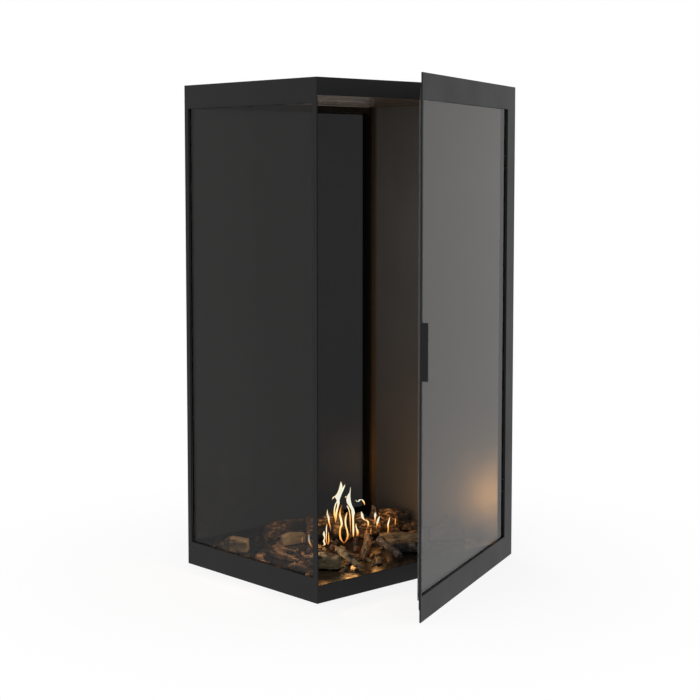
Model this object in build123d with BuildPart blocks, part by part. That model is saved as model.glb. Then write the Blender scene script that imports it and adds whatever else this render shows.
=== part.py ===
from build123d import *
import math
import os

# Three-sided gas fireplace: glass on the left, at the back and in a hinged front door,
# and a closed services column on the right. The door stands open.
# Millimetres. +Z up, +X from the free corner to the hinge column, -Y towards the door.
# The origin is the centre of the base, on the floor.

os.makedirs("parts", exist_ok=True)

# Overall size of the body
width = 600.0
depth = 450.0
height = 1090.0

# Bars, rails, stiles and posts, as seen on the faces
bar = 52.0
rail = 37.0
stile = 54.0
front_post = 13.0
back_post = 13.0
back_stile = 17.0
column = 41.0
free_strip = 5.0

# Sheet and plate
sheet = 3.0
thin_sheet = 1.5
liner_sheet = 2.0
plate = 4.0
door_plate = 3.0
corner_round = 3.0
overrun = 20.0

# Glass, gaskets and what holds them
glass = 4.0
side_gasket = 1.0
back_gasket = 3.0
gasket_width = 8.0
glass_grip = 8.0
rest_height = 6.0
rest_length = 30.0
clip_width = 20.0
clip_height = 20.0
clip_foot = 14.0
pane_gap = 2.0
seat_gap = 0.3
sheet_gap = 0.5

# Door and hinge
door_angle = 24.16
door_stand_off = 2.0
door_floor_gap = 3.0
door_lip_depth = 1.5
door_gasket = 1.7
hinge_inset = 6.0
barrel_r = 5.0
pin_r = 2.5
pin_running_gap = 0.05
pin_head_r = 4.0
pin_head = 1.5
hinge_length = 56.0
hinge_from_end = 170.0
ear = 3.0
ear_back = 30.0
ear_depth = 8.0
washer = 1.0
tongue_width = 8.0
notch = 16.0
notch_over = 2.0
hinge_screw_r = 2.0
hinge_screw_spacing = 28.0
handle_length = 116.0
handle_reach = 13.0
handle_blade = 3.0
handle_foot = 1.5
magnet_r = 6.0
magnet_flange = 2.0
magnet_gap = 0.2
magnet_from_corner = 30.0
strike_length = 24.0
strike_width = 12.0

# Floor, ceiling and flue
hearth_top = 34.0
ceiling_drop = 34.0
ceiling_slot = 9.0
ceiling_flange = 12.0
back_bar_width = 14.0
back_bar_depth = 16.0
back_bar_height = 16.0
flue_r = 50.0
air_r = 75.0
flue_wall = 1.5
flue_collar = 10.0
plenum_length = 260.0
plenum_width = 130.0
plenum_height = 6.0

# Burner and gas
burner_length = 310.0
burner_width = 124.0
burner_middle_x = 0.0
burner_middle_y = 6.0
burner_rim = 10.0
tray_floor = 9.0
port_length = 13.0
port_width = 3.0
port_margin = 20.0
port_row_pitch = 44.0
ports_in_row = 11
port_rows = 2
gas_z = 18.0
gas_inlet_y = 150.0
gas_bore_r = 7.5
gas_bore_depth = 12.0
union_r = 11.0
union_across = 24.0
union_length = 22.0
union_gap = 0.4
pipe_r = 5.0
pipe_wall = 1.0
pipe_bend = 20.0
injector_nose_r = 6.0
injector_collar_r = 9.0
injector_collar = 8.0
injector_nose = 10.0
injector_tail = 8.0
jet_r = 1.5

# Pilot group
pilot_x = 128.0
pilot_y = 96.0
pilot_foot_length = 54.0
pilot_foot_width = 14.0
pilot_shelf_z = 18.0
pilot_pitch = 17.0
pilot_tube_r = 4.0
pilot_tube_top = 16.0
ceramic_r = 3.0
ceramic_top = 12.0
spark_rod_r = 1.0
spark_rod_length = 9.0
sensor_r = 2.4
sensor_top = 15.0
pilot_collar = 2.0
pilot_tail = 12.0

# Screws
screw_r = 2.5
screw_head_r = 5.0
screw_gap = 0.1
fixing_r = 4.5
fixing_spacing_x = 520.0
fixing_spacing_y = 370.0

# Logs, as a share of this girth
log_girth = 50.0

right_angle = 90.0

# Places worked out from the sizes above
half_width = width / 2
half_depth = depth / 2
body_front = -half_depth
body_back = half_depth - plate
wall_left = -half_width + sheet
wall_right = half_width - sheet
wall_front = body_front + sheet
wall_back = body_back - sheet
column_face = half_width - column
liner_back = column_face + liner_sheet
window_floor = bar
window_ceiling = height - bar
opening_floor = rail
opening_ceiling = height - rail
pane_floor = hearth_top + rest_height
pane_ceiling = height - pane_floor
ceiling_z = height - ceiling_drop

left_pane_out = wall_left + side_gasket
left_pane_in = left_pane_out + glass
back_pane_out = body_back - back_gasket
back_pane_in = back_pane_out - glass
front_web = body_front + front_post - sheet
back_web = half_depth - back_post
back_window_left = -half_width + back_stile
back_window_right = half_width - stile
left_pane_back = wall_back - sheet_gap
left_pane_front = front_web - plate
back_bar_x = column_face - back_bar_width
back_bar_y = back_pane_in - back_bar_depth
back_bar_end = back_pane_in - sheet_gap

hinge_x = half_width - hinge_inset
hinge_y = body_front + hinge_inset
hinge_heights = {"lower": hinge_from_end, "upper": height - hinge_from_end}
door_inner = body_front - door_stand_off
door_outer = door_inner - door_plate
door_window_left = -half_width + free_strip
door_window_floor = door_floor_gap + bar
door_glass_out = door_inner + door_lip_depth
door_glass_in = door_glass_out + glass
gasket_floor = opening_floor - sheet_gap
gasket_ceiling = opening_ceiling + sheet_gap
rail_heights = (rail / 2, height - rail / 2)
magnet_x = -half_width + magnet_from_corner


def area(left, right, low, high, mode=Mode.ADD):
    """A rectangle between its limits, in the sketch that is open."""
    with Locations(((left + right) / 2, (low + high) / 2)):
        Rectangle(right - left, high - low, mode=mode)


def facing_front(y):
    """Plane at y that looks out of the front: local x is X, local y is Z."""
    return Plane(origin=(0, y, 0), x_dir=(1, 0, 0), z_dir=(0, -1, 0))


def facing_back(y):
    """Plane at y that looks out of the back: local x is -X, local y is Z."""
    return Plane(origin=(0, y, 0), x_dir=(-1, 0, 0), z_dir=(0, 1, 0))


def facing_left(x):
    """Plane at x that looks out of the left side: local x is -Y, local y is Z."""
    return Plane(origin=(x, 0, 0), x_dir=(0, -1, 0), z_dir=(-1, 0, 0))


def facing_right(x):
    """Plane at x that looks out of the right side: local x is Y, local y is Z."""
    return Plane(origin=(x, 0, 0), x_dir=(0, 1, 0), z_dir=(1, 0, 0))


open_angle = math.radians(door_angle)
door_along = Vector(math.cos(open_angle), math.sin(open_angle), 0)
door_outward = Vector(math.sin(open_angle), -math.cos(open_angle), 0)
hinge_axis = Vector(hinge_x, hinge_y, 0)


def on_door(closed_y):
    """Upright plane of the open door: local x is X from the hinge axis, local y is Z."""
    origin = hinge_axis + door_outward * (hinge_y - closed_y)
    return Plane(origin=origin, x_dir=door_along, z_dir=door_outward)


def door_plan(z):
    """Level plane of the open door at z: local x and y as on the closed door, from the hinge."""
    return Plane(origin=(hinge_x, hinge_y, z), x_dir=door_along, z_dir=(0, 0, 1))


def door_x(x):
    """A closed door's X as a distance from the hinge axis."""
    return x - hinge_x


def door_y(y):
    """A closed door's Y as a distance from the hinge axis."""
    return y - hinge_y


pieces = {}


def finish(piece, name):
    """Label a finished piece and write it to its own file."""
    piece.part.label = name
    export_step(piece.part, f"parts/{name}.step")
    pieces[name] = piece.part


# Body shell

def end_tray():
    """Shallow folded tray for one end of the body, with its outer face on z = 0."""
    with BuildPart() as tray:
        with BuildSketch():
            area(-half_width, half_width, body_front, body_back)
        extrude(amount=bar)
        hinge_corner = tray.edges().filter_by(Axis.Z).group_by(Axis.X)[-1].sort_by(Axis.Y)[0]
        fillet(hinge_corner, radius=corner_round)
        with BuildSketch(Plane.XY.offset(sheet)):
            area(wall_left, wall_right, wall_front, wall_back)
        extrude(amount=bar, mode=Mode.SUBTRACT)
        with BuildSketch(Plane.XY.offset(rail)):
            area(wall_left, half_width, body_front, wall_front)
            area(wall_left, half_width, wall_back, body_back)
        extrude(amount=bar, mode=Mode.SUBTRACT)
        with BuildSketch(facing_front(wall_front)):
            with Locations((magnet_x, rail / 2)):
                Circle(magnet_r + magnet_gap)
        extrude(amount=sheet, mode=Mode.SUBTRACT)
        with BuildSketch(facing_back(wall_back)):
            with Locations(*rail_screw_places):
                Circle(screw_r + screw_gap)
        extrude(amount=sheet, mode=Mode.SUBTRACT)
    return tray.part


rail_screw_shares = (-0.87, -0.29, 0.29, 0.87)
rail_screw_places = [(share * half_width, rail / 2) for share in rail_screw_shares]

with BuildPart() as base_pan:
    add(end_tray())
    with BuildSketch():
        with GridLocations(fixing_spacing_x, fixing_spacing_y, 2, 2):
            Circle(fixing_r)
    extrude(amount=sheet, mode=Mode.SUBTRACT)
    with BuildSketch(facing_right(wall_right)):
        with Locations((gas_inlet_y, gas_z)):
            Circle(union_r + union_gap)
    extrude(amount=sheet, mode=Mode.SUBTRACT)
finish(base_pan, "base_pan")

with BuildPart() as top_hood:
    add(mirror(end_tray(), about=Plane.XY.offset(height / 2)))
    with BuildSketch(Plane.XY.offset(height - sheet)):
        Circle(air_r)
    extrude(amount=sheet, mode=Mode.SUBTRACT)
finish(top_hood, "top_hood")

with BuildPart() as corner_post:
    with BuildSketch(Plane.XY.offset(window_floor)):
        area(-half_width, wall_left, body_front, front_web + sheet)
    extrude(amount=window_ceiling - window_floor)
finish(corner_post, "corner_post")

with BuildPart() as back_left_post:
    with BuildSketch(Plane.XY.offset(window_floor)):
        area(-half_width, wall_left, back_web, body_back)
        area(wall_left, back_window_left - gasket_width - sheet_gap, wall_back, body_back)
    extrude(amount=window_ceiling - window_floor)
finish(back_left_post, "back_left_post")

column_screw_shares = (0.3, 0.7)
column_screw_heights = [share * height for share in column_screw_shares]
column_screw_x = half_width - column / 2

with BuildPart() as column_casing:
    with BuildSketch(Plane.XY.offset(opening_floor)):
        area(column_face, half_width, body_front, body_back)
        area(column_face, wall_right, wall_front, wall_back, mode=Mode.SUBTRACT)
    extrude(amount=opening_ceiling - opening_floor)
    hinge_corner = column_casing.edges().filter_by(Axis.Z).group_by(Axis.X)[-1].sort_by(Axis.Y)[0]
    fillet(hinge_corner, radius=corner_round)
    for low, high in ((opening_floor, window_floor), (window_ceiling, opening_ceiling)):
        with BuildSketch(Plane.XY.offset(low)):
            area(wall_right, half_width, wall_front, wall_back)
        extrude(amount=high - low, mode=Mode.SUBTRACT)
    for hinge_z in hinge_heights.values():
        with BuildSketch(Plane.XY.offset(hinge_z - hinge_length / 2 - notch_over)):
            area(half_width - notch, half_width + overrun, body_front - overrun, body_front + notch)
        extrude(amount=hinge_length + 2 * notch_over, mode=Mode.SUBTRACT)
        with BuildSketch(facing_front(wall_front)):
            with Locations((half_width - notch - ear_back / 3, hinge_z)):
                with GridLocations(0, hinge_screw_spacing, 1, 2):
                    Circle(hinge_screw_r + screw_gap)
        extrude(amount=sheet, mode=Mode.SUBTRACT)
    with BuildSketch(facing_back(wall_back)):
        with Locations(*[(-column_screw_x, z) for z in column_screw_heights]):
            Circle(screw_r + screw_gap)
    extrude(amount=sheet, mode=Mode.SUBTRACT)
finish(column_casing, "column_casing")

with BuildPart() as column_liner:
    with BuildSketch(Plane.XY.offset(hearth_top)):
        area(column_face, liner_back, wall_front, wall_back)
        area(liner_back, liner_back + ceiling_flange, wall_front, wall_front + thin_sheet)
        area(liner_back, liner_back + ceiling_flange, wall_back - thin_sheet, wall_back)
        area(back_bar_x, column_face, back_bar_y, back_bar_y + liner_sheet)
        area(back_bar_x, back_bar_x + liner_sheet, back_bar_y, back_bar_end)
    extrude(amount=ceiling_z - hearth_top)
    for hinge_z in hinge_heights.values():
        with BuildSketch(Plane.XY.offset(hinge_z - hinge_length)):
            area(liner_back, liner_back + overrun, wall_front, wall_front + ear)
        extrude(amount=2 * hinge_length, mode=Mode.SUBTRACT)
finish(column_liner, "column_liner")


# Floor and ceiling of the firebox

burner_left = burner_middle_x - burner_length / 2
burner_right = burner_middle_x + burner_length / 2
burner_front = burner_middle_y - burner_width / 2
burner_back = burner_middle_y + burner_width / 2

with BuildPart() as hearth_plate:
    with BuildSketch(Plane.XY.offset(sheet)):
        area(wall_left + sheet_gap, wall_right - sheet_gap, wall_front + sheet_gap, wall_back - sheet_gap)
    extrude(amount=hearth_top - sheet)
    with BuildSketch(Plane.XY.offset(sheet)):
        area(
            wall_left + sheet_gap + sheet,
            wall_right - sheet_gap - sheet,
            wall_front + sheet_gap + sheet,
            wall_back - sheet_gap - sheet,
        )
    extrude(amount=hearth_top - 2 * sheet, mode=Mode.SUBTRACT)
    with BuildSketch(Plane.XY.offset(hearth_top - sheet)):
        area(burner_left, burner_right, burner_front, burner_back)
    extrude(amount=sheet, mode=Mode.SUBTRACT)
    with BuildSketch(facing_right(wall_right - sheet_gap - sheet)):
        with Locations((gas_inlet_y, gas_z)):
            Circle(union_r + union_gap)
    extrude(amount=sheet, mode=Mode.SUBTRACT)
    with BuildSketch(facing_front(wall_front + sheet_gap + sheet)):
        with Locations((magnet_x, rail / 2)):
            Circle(magnet_r + magnet_flange + sheet_gap)
    extrude(amount=sheet, mode=Mode.SUBTRACT)
finish(hearth_plate, "hearth_plate")


def ceiling_panel(front, back, header=False):
    """Ceiling plate between two Y places, hung by turned-up ends; a header folds down at the back pane."""
    left = left_pane_in + thin_sheet + sheet_gap
    right = column_face
    with BuildPart() as panel:
        with BuildSketch(Plane.XY.offset(ceiling_z)):
            area(left, right, front, back)
        extrude(amount=thin_sheet)
        with BuildSketch(Plane.XY.offset(ceiling_z)):
            area(left, left + thin_sheet, front, back)
            area(right - thin_sheet, right, front, back)
        extrude(amount=height - sheet - ceiling_z)
        with BuildSketch(Plane.XY.offset(height - sheet - thin_sheet)):
            area(left, left + ceiling_flange, front, back)
            area(right - ceiling_flange, right, front, back)
        extrude(amount=thin_sheet)
        if header:
            header_floor = ceiling_z - back_bar_height
            with BuildSketch(facing_left(back_bar_x - sheet_gap)):
                area(-back, thin_sheet - back, header_floor, ceiling_z)
                area(-back_bar_end, thin_sheet - back, header_floor, header_floor + thin_sheet)
            extrude(amount=back_bar_x - sheet_gap - left)
    return panel


ceiling_front = ceiling_panel(wall_front + sheet_gap, -ceiling_slot / 2)
finish(ceiling_front, "ceiling_front")
ceiling_rear = ceiling_panel(ceiling_slot / 2, back_bar_y + thin_sheet, header=True)
finish(ceiling_rear, "ceiling_rear")

plenum_floor = ceiling_z + thin_sheet
plenum_top = plenum_floor + plenum_height

with BuildPart() as flue_plenum:
    with BuildSketch(Plane.XY.offset(plenum_floor)):
        Rectangle(plenum_length, plenum_width)
    extrude(amount=plenum_height)
    fillet(flue_plenum.edges().filter_by(Axis.Z), radius=corner_round)
    with BuildSketch(Plane.XY.offset(plenum_floor)):
        Rectangle(plenum_length - 2 * thin_sheet, plenum_width - 2 * thin_sheet)
    extrude(amount=plenum_height - thin_sheet, mode=Mode.SUBTRACT)
    with BuildSketch(Plane.XY.offset(plenum_top - thin_sheet)):
        Circle(flue_r)
    extrude(amount=thin_sheet, mode=Mode.SUBTRACT)
finish(flue_plenum, "flue_plenum")


def flue_socket(bore_r, low, high, flange_z):
    """Turned sheet socket with a flange ring, revolved about the flue's axis."""
    with BuildPart() as socket:
        with BuildSketch(Plane.XZ):
            area(bore_r, bore_r + flue_wall, low, high)
            area(bore_r, bore_r + flue_wall + flue_collar, flange_z, flange_z + flue_wall)
        revolve(axis=Axis.Z)
    return socket


flue_socket_inner = flue_socket(flue_r, plenum_top, height, plenum_top)
finish(flue_socket_inner, "flue_socket_inner")
flue_socket_outer = flue_socket(air_r, plenum_top, height - sheet, height - sheet - flue_wall)
finish(flue_socket_outer, "flue_socket_outer")


# Left pane and its gasket

with BuildPart() as left_gasket:
    with BuildSketch(facing_left(left_pane_out)):
        area(-back_web - sheet, -front_web, window_floor - sheet, window_ceiling + sheet)
        area(-back_web, -front_web - sheet, window_floor, window_ceiling, mode=Mode.SUBTRACT)
    extrude(amount=side_gasket)
finish(left_gasket, "left_gasket")

with BuildPart() as left_glass:
    with BuildSketch(facing_left(left_pane_in)):
        area(-left_pane_back, -left_pane_front, pane_floor, pane_ceiling)
    extrude(amount=glass)
finish(left_glass, "left_glass")

pane_share_along = (0.12, 0.5, 0.88)


def stretch(start, end, share):
    """A place between two ends, by its share of the way."""
    return start + (end - start) * share


left_clip_places = [stretch(left_pane_front, left_pane_back, share) for share in pane_share_along]
back_pane_left = left_pane_in + pane_gap
back_pane_right = back_window_right + gasket_width
back_clip_places = [stretch(back_pane_left, back_pane_right, share) for share in pane_share_along]

floor_end = (hearth_top, 1)
ceiling_end = (ceiling_z, -1)


def angle_clips(plane, places, ends):
    """Folded angle clips from each end's level and sense; the plane's z points away from the pane."""
    with BuildPart() as clips:
        for place in places:
            for level, sense in ends:
                for rise, reach in ((clip_height, thin_sheet), (thin_sheet, clip_foot)):
                    low, high = sorted((level, level + sense * rise))
                    with BuildSketch(plane):
                        area(place - clip_width / 2, place + clip_width / 2, low, high)
                    extrude(amount=reach)
    return clips


left_glass_clips = angle_clips(facing_right(left_pane_in), left_clip_places, (floor_end, ceiling_end))
finish(left_glass_clips, "left_glass_clips")
back_glass_clips = angle_clips(facing_front(back_pane_in), back_clip_places, (floor_end,))
finish(back_glass_clips, "back_glass_clips")

rest_share_along = (0.2, 0.8)

with BuildPart() as glass_rests:
    with BuildSketch(Plane.XY.offset(hearth_top)):
        for share in rest_share_along:
            along = stretch(left_pane_front, left_pane_back, share)
            area(left_pane_out, left_pane_in, along - rest_length / 2, along + rest_length / 2)
            along = stretch(back_pane_left, back_pane_right, share)
            area(along - rest_length / 2, along + rest_length / 2, back_pane_in, back_pane_out - sheet_gap)
    extrude(amount=rest_height)
finish(glass_rests, "glass_rests")


# Back frame, pane and gasket

back_screw_places = [(x, z) for x, z in rail_screw_places]
back_screw_places += [(x, height - z) for x, z in rail_screw_places]
back_screw_places += [(-column_screw_x, z) for z in column_screw_heights]

with BuildPart() as back_frame:
    with BuildSketch(facing_back(body_back)):
        area(-half_width, half_width, 0, height)
        area(-back_window_right, -back_window_left, window_floor, window_ceiling, mode=Mode.SUBTRACT)
    extrude(amount=plate)
    with Locations(facing_back(half_depth)):
        with Locations(*back_screw_places):
            CounterSinkHole(screw_r + screw_gap, screw_head_r + screw_gap, counter_sink_angle=right_angle)
finish(back_frame, "back_frame")

with BuildPart() as back_frame_screw:
    with BuildSketch(Plane.XZ):
        with BuildLine():
            Polyline(
                (0, 0),
                (screw_head_r, 0),
                (screw_r, screw_r - screw_head_r),
                (screw_r, -plate - sheet),
                (0, -plate - sheet),
                close=True,
            )
        make_face()
    revolve(axis=Axis.Z)

with BuildPart() as back_frame_screws:
    with Locations(facing_back(half_depth)):
        with Locations(*back_screw_places):
            add(back_frame_screw.part)
finish(back_frame_screws, "back_frame_screws")

with BuildPart() as back_gasket_ring:
    with BuildSketch(facing_back(back_pane_out)):
        area(
            -back_window_right - gasket_width,
            -back_window_left + gasket_width,
            window_floor - gasket_width,
            window_ceiling + gasket_width,
        )
        area(-back_window_right, -back_window_left, window_floor, window_ceiling, mode=Mode.SUBTRACT)
    extrude(amount=back_gasket)
finish(back_gasket_ring, "back_gasket")

with BuildPart() as back_glass:
    with BuildSketch(facing_back(back_pane_in)):
        area(-back_pane_right, -back_pane_left, pane_floor, pane_ceiling)
    extrude(amount=glass)
finish(back_glass, "back_glass")


# Burner set into the floor

cavity_left = burner_left + burner_rim
cavity_right = burner_right - burner_rim
cavity_front = burner_front + burner_rim
cavity_back = burner_back - burner_rim
tray_right = cavity_right + thin_sheet
rim_top = hearth_top - sheet
port_pitch = (burner_length - 2 * port_margin - port_length) / (ports_in_row - 1)

with BuildPart() as burner_tray:
    with BuildSketch(Plane.XY.offset(tray_floor)):
        area(cavity_left - thin_sheet, tray_right, cavity_front - thin_sheet, cavity_back + thin_sheet)
    extrude(amount=rim_top - tray_floor)
    with BuildSketch(Plane.XY.offset(rim_top - thin_sheet)):
        area(
            burner_left - burner_rim,
            burner_right + burner_rim,
            burner_front - burner_rim,
            burner_back + burner_rim,
        )
    extrude(amount=thin_sheet)
    with BuildSketch(Plane.XY.offset(tray_floor + thin_sheet)):
        area(cavity_left, cavity_right, cavity_front, cavity_back)
    extrude(amount=rim_top - tray_floor, mode=Mode.SUBTRACT)
    with BuildSketch(facing_right(cavity_right)):
        with Locations((burner_middle_y, gas_z)):
            Circle(injector_nose_r + union_gap)
    extrude(amount=thin_sheet, mode=Mode.SUBTRACT)
finish(burner_tray, "burner_tray")

with BuildPart() as burner_plate:
    with BuildSketch(Plane.XY.offset(rim_top)):
        with Locations((burner_middle_x, burner_middle_y)):
            Rectangle(burner_length - 2 * sheet_gap, burner_width - 2 * sheet_gap)
            with GridLocations(port_pitch, port_row_pitch, ports_in_row, port_rows):
                SlotOverall(port_length, port_width, mode=Mode.SUBTRACT)
    extrude(amount=sheet)
finish(burner_plate, "burner_plate")


# Gas inlet, pipe and injector

union_end = half_width - union_length
union_seat = wall_right - sheet_gap - sheet

with BuildPart() as gas_inlet_union:
    with BuildSketch(facing_right(union_seat)):
        with Locations((gas_inlet_y, gas_z)):
            Circle(union_r)
    extrude(amount=half_width - union_seat)
    with BuildSketch(facing_right(union_end)):
        with Locations((gas_inlet_y, gas_z)):
            RegularPolygon(union_across / 2, 6, major_radius=False)
    extrude(amount=union_seat - union_end)
    with BuildSketch(facing_right(half_width - gas_bore_depth)):
        with Locations((gas_inlet_y, gas_z)):
            Circle(gas_bore_r)
    extrude(amount=gas_bore_depth, mode=Mode.SUBTRACT)
    with BuildSketch(facing_right(union_end)):
        with Locations((gas_inlet_y, gas_z)):
            Circle(pipe_r - pipe_wall)
    extrude(amount=union_length - gas_bore_depth, mode=Mode.SUBTRACT)
finish(gas_inlet_union, "gas_inlet_union")

injector_end = tray_right + injector_collar + injector_tail
pipe_cross_x = (union_end + injector_end) / 2

with BuildPart() as gas_pipe:
    with BuildLine() as pipe_path:
        FilletPolyline(
            (union_end, gas_inlet_y, gas_z),
            (pipe_cross_x, gas_inlet_y, gas_z),
            (pipe_cross_x, burner_middle_y, gas_z),
            (injector_end, burner_middle_y, gas_z),
            radius=pipe_bend,
        )
    with BuildSketch(Plane(origin=(union_end, gas_inlet_y, gas_z), z_dir=(-1, 0, 0))):
        Circle(pipe_r)
        Circle(pipe_r - pipe_wall, mode=Mode.SUBTRACT)
    sweep(path=pipe_path.line)
finish(gas_pipe, "gas_pipe")

with BuildPart() as gas_injector:
    with BuildSketch(Plane.XZ):
        with BuildLine():
            Polyline(
                (jet_r, -injector_nose),
                (injector_nose_r - pipe_wall, -injector_nose),
                (injector_nose_r, -injector_nose + pipe_wall),
                (injector_nose_r, 0),
                (injector_collar_r, 0),
                (injector_collar_r, injector_collar),
                (pipe_r + pipe_wall, injector_collar),
                (pipe_r + pipe_wall, injector_collar + injector_tail),
                (pipe_r - pipe_wall, injector_collar + injector_tail),
                (pipe_r - pipe_wall, 0),
                (jet_r, -pipe_r),
                close=True,
            )
        make_face()
    revolve(axis=Axis.Z)
injector_seat = Plane(origin=(tray_right, burner_middle_y, gas_z), z_dir=(1, 0, 0))
gas_injector.part = injector_seat.location * gas_injector.part
finish(gas_injector, "gas_injector")


# Pilot burner, spark electrode and flame sensor on one bracket

shelf_z = hearth_top + pilot_shelf_z
shelf_top = shelf_z + thin_sheet
shelf_middle_y = pilot_y - pilot_foot_width / 2
pilot_places = [(pilot_x + step * pilot_pitch, shelf_middle_y) for step in (-1, 0, 1)]
pilot_radii = (ceramic_r, pilot_tube_r, sensor_r)

with BuildPart() as pilot_bracket:
    with BuildSketch(facing_right(pilot_x - pilot_foot_length / 2)):
        area(pilot_y - thin_sheet, pilot_y + pilot_foot_width, hearth_top, hearth_top + thin_sheet)
        area(pilot_y - thin_sheet, pilot_y, hearth_top, shelf_top)
        area(pilot_y - pilot_foot_width, pilot_y, shelf_z, shelf_top)
    extrude(amount=pilot_foot_length)
    with BuildSketch(Plane.XY.offset(shelf_z)):
        for place, radius in zip(pilot_places, pilot_radii):
            with Locations(place):
                Circle(radius + screw_gap)
    extrude(amount=thin_sheet, mode=Mode.SUBTRACT)
finish(pilot_bracket, "pilot_bracket")


def pilot_rod(place, radius, top, bore=0.0, tip_r=0.0, tip=0.0):
    """Turned rod that hangs through the shelf by its collar, with a slimmer tip or a bore."""
    with BuildPart() as rod:
        with BuildSketch(Plane.XZ):
            area(bore, radius, shelf_top - pilot_tail, shelf_top + top)
            area(bore, radius + pilot_collar, shelf_top, shelf_top + pilot_collar)
            if tip:
                area(0, tip_r, shelf_top + top, shelf_top + top + tip)
        revolve(axis=Axis.Z)
    rod.part = Pos(place[0], place[1], 0) * rod.part
    return rod


finish(pilot_rod(pilot_places[0], ceramic_r, ceramic_top, 0, spark_rod_r, spark_rod_length), "spark_electrode")
finish(pilot_rod(pilot_places[1], pilot_tube_r, pilot_tube_top, pilot_tube_r / 2), "pilot_burner")
finish(pilot_rod(pilot_places[2], sensor_r, sensor_top), "flame_sensor")


# Hinges: a bracket, pin and washer on the column, a knuckle on the door

bracket_left = hinge_x - ear_back
bracket_right = half_width - notch - sheet_gap
hinge_screw_x = half_width - notch - ear_back / 3


def hinge_bracket(hinge_z):
    """Two ears on a web that lies against the inside of the column's front."""
    low = hinge_z - hinge_length / 2
    with BuildPart() as bracket:
        for ear_z in (low, low + hinge_length - ear):
            with BuildSketch(Plane.XY.offset(ear_z)):
                area(bracket_left, hinge_x, wall_front, wall_front + ear_depth)
                with Locations((hinge_x, hinge_y)):
                    Circle(barrel_r)
                    Circle(pin_r + pin_running_gap, mode=Mode.SUBTRACT)
            extrude(amount=ear)
        with BuildSketch(Plane.XY.offset(low)):
            area(bracket_left, bracket_right, wall_front, wall_front + ear)
        extrude(amount=hinge_length)
        with BuildSketch(facing_front(wall_front + ear)):
            with Locations((hinge_screw_x, hinge_z)):
                with GridLocations(0, hinge_screw_spacing, 1, 2):
                    Circle(hinge_screw_r + screw_gap)
        extrude(amount=ear, mode=Mode.SUBTRACT)
    return bracket


def hinge_pin(hinge_z):
    """Pin with a head that rests on the upper ear."""
    low = hinge_z - hinge_length / 2
    with BuildPart() as pin:
        with BuildSketch(Plane(origin=(hinge_x, hinge_y, low))):
            Circle(pin_r)
        extrude(amount=hinge_length)
        with BuildSketch(Plane(origin=(hinge_x, hinge_y, low + hinge_length))):
            Circle(pin_head_r)
        extrude(amount=pin_head)
    return pin


def hinge_knuckle(hinge_z):
    """Barrel round the pin with a tongue to the door plate."""
    low = hinge_z - hinge_length / 2 + ear + washer + seat_gap
    high = hinge_z + hinge_length / 2 - ear - seat_gap
    with BuildPart() as knuckle:
        with BuildSketch(door_plan(low)):
            Circle(barrel_r)
            area(-tongue_width / 2, tongue_width / 2, door_y(door_inner), 0)
            Circle(pin_r + pin_running_gap, mode=Mode.SUBTRACT)
        extrude(amount=high - low)
    return knuckle


for level, hinge_z in hinge_heights.items():
    finish(hinge_bracket(hinge_z), f"{level}_hinge_bracket")
    finish(hinge_pin(hinge_z), f"{level}_hinge_pin")
    finish(hinge_knuckle(hinge_z), f"{level}_hinge_knuckle")

with BuildPart() as hinge_washers:
    for hinge_z in hinge_heights.values():
        with BuildSketch(Plane(origin=(hinge_x, hinge_y, hinge_z - hinge_length / 2 + ear))):
            Circle(barrel_r)
            Circle(pin_r + pin_running_gap, mode=Mode.SUBTRACT)
        extrude(amount=washer)
finish(hinge_washers, "hinge_washers")

with BuildPart() as hinge_screws:
    for hinge_z in hinge_heights.values():
        for step in (-1, 1):
            place = (hinge_screw_x, hinge_z + step * hinge_screw_spacing / 2)
            with BuildSketch(facing_front(wall_front + ear)):
                with Locations(place):
                    Circle(hinge_screw_r)
            extrude(amount=ear + sheet)
            with BuildSketch(facing_front(wall_front + ear)):
                with Locations(place):
                    Circle(2 * hinge_screw_r)
            extrude(amount=-hinge_screw_r)
finish(hinge_screws, "hinge_screws")


# Door

door_top = height
handle_floor = (height - handle_length) / 2
glass_left = door_window_left - thin_sheet
glass_right = back_window_right + glass_grip
glass_floor = door_window_floor - glass_grip
glass_ceiling = window_ceiling + glass_grip

with BuildPart() as door_frame:
    with BuildSketch(on_door(door_inner)):
        area(door_x(-half_width), door_x(half_width), door_floor_gap, door_top)
    extrude(amount=door_plate)
    with BuildSketch(on_door(door_glass_out)):
        area(
            door_x(door_window_left - thin_sheet),
            door_x(back_window_right + thin_sheet),
            door_window_floor - thin_sheet,
            window_ceiling + thin_sheet,
        )
    extrude(amount=door_lip_depth)
    with BuildSketch(on_door(door_glass_out)):
        area(door_x(door_window_left), door_x(back_window_right), door_window_floor, window_ceiling)
    extrude(amount=door_lip_depth + door_plate, mode=Mode.SUBTRACT)
    with BuildSketch(on_door(door_inner)):
        area(
            door_x(-half_width - overrun),
            door_x(-half_width + handle_blade),
            handle_floor - sheet_gap,
            handle_floor + handle_length + sheet_gap,
        )
    extrude(amount=door_plate, mode=Mode.SUBTRACT)
finish(door_frame, "door_frame")

with BuildPart() as door_glass:
    with BuildSketch(on_door(door_glass_in)):
        area(door_x(glass_left), door_x(glass_right), glass_floor, glass_ceiling)
    extrude(amount=glass)
finish(door_glass, "door_glass")

with BuildPart() as door_gasket_ring:
    with BuildSketch(on_door(door_inner + door_gasket)):
        area(
            door_x(-half_width + sheet_gap),
            door_x(column_face + sheet + gasket_width),
            gasket_floor - gasket_width,
            gasket_ceiling + gasket_width,
        )
        area(
            door_x(wall_left),
            door_x(column_face + sheet),
            gasket_floor,
            gasket_ceiling,
            mode=Mode.SUBTRACT,
        )
    extrude(amount=door_gasket)
finish(door_gasket_ring, "door_gasket")


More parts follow.
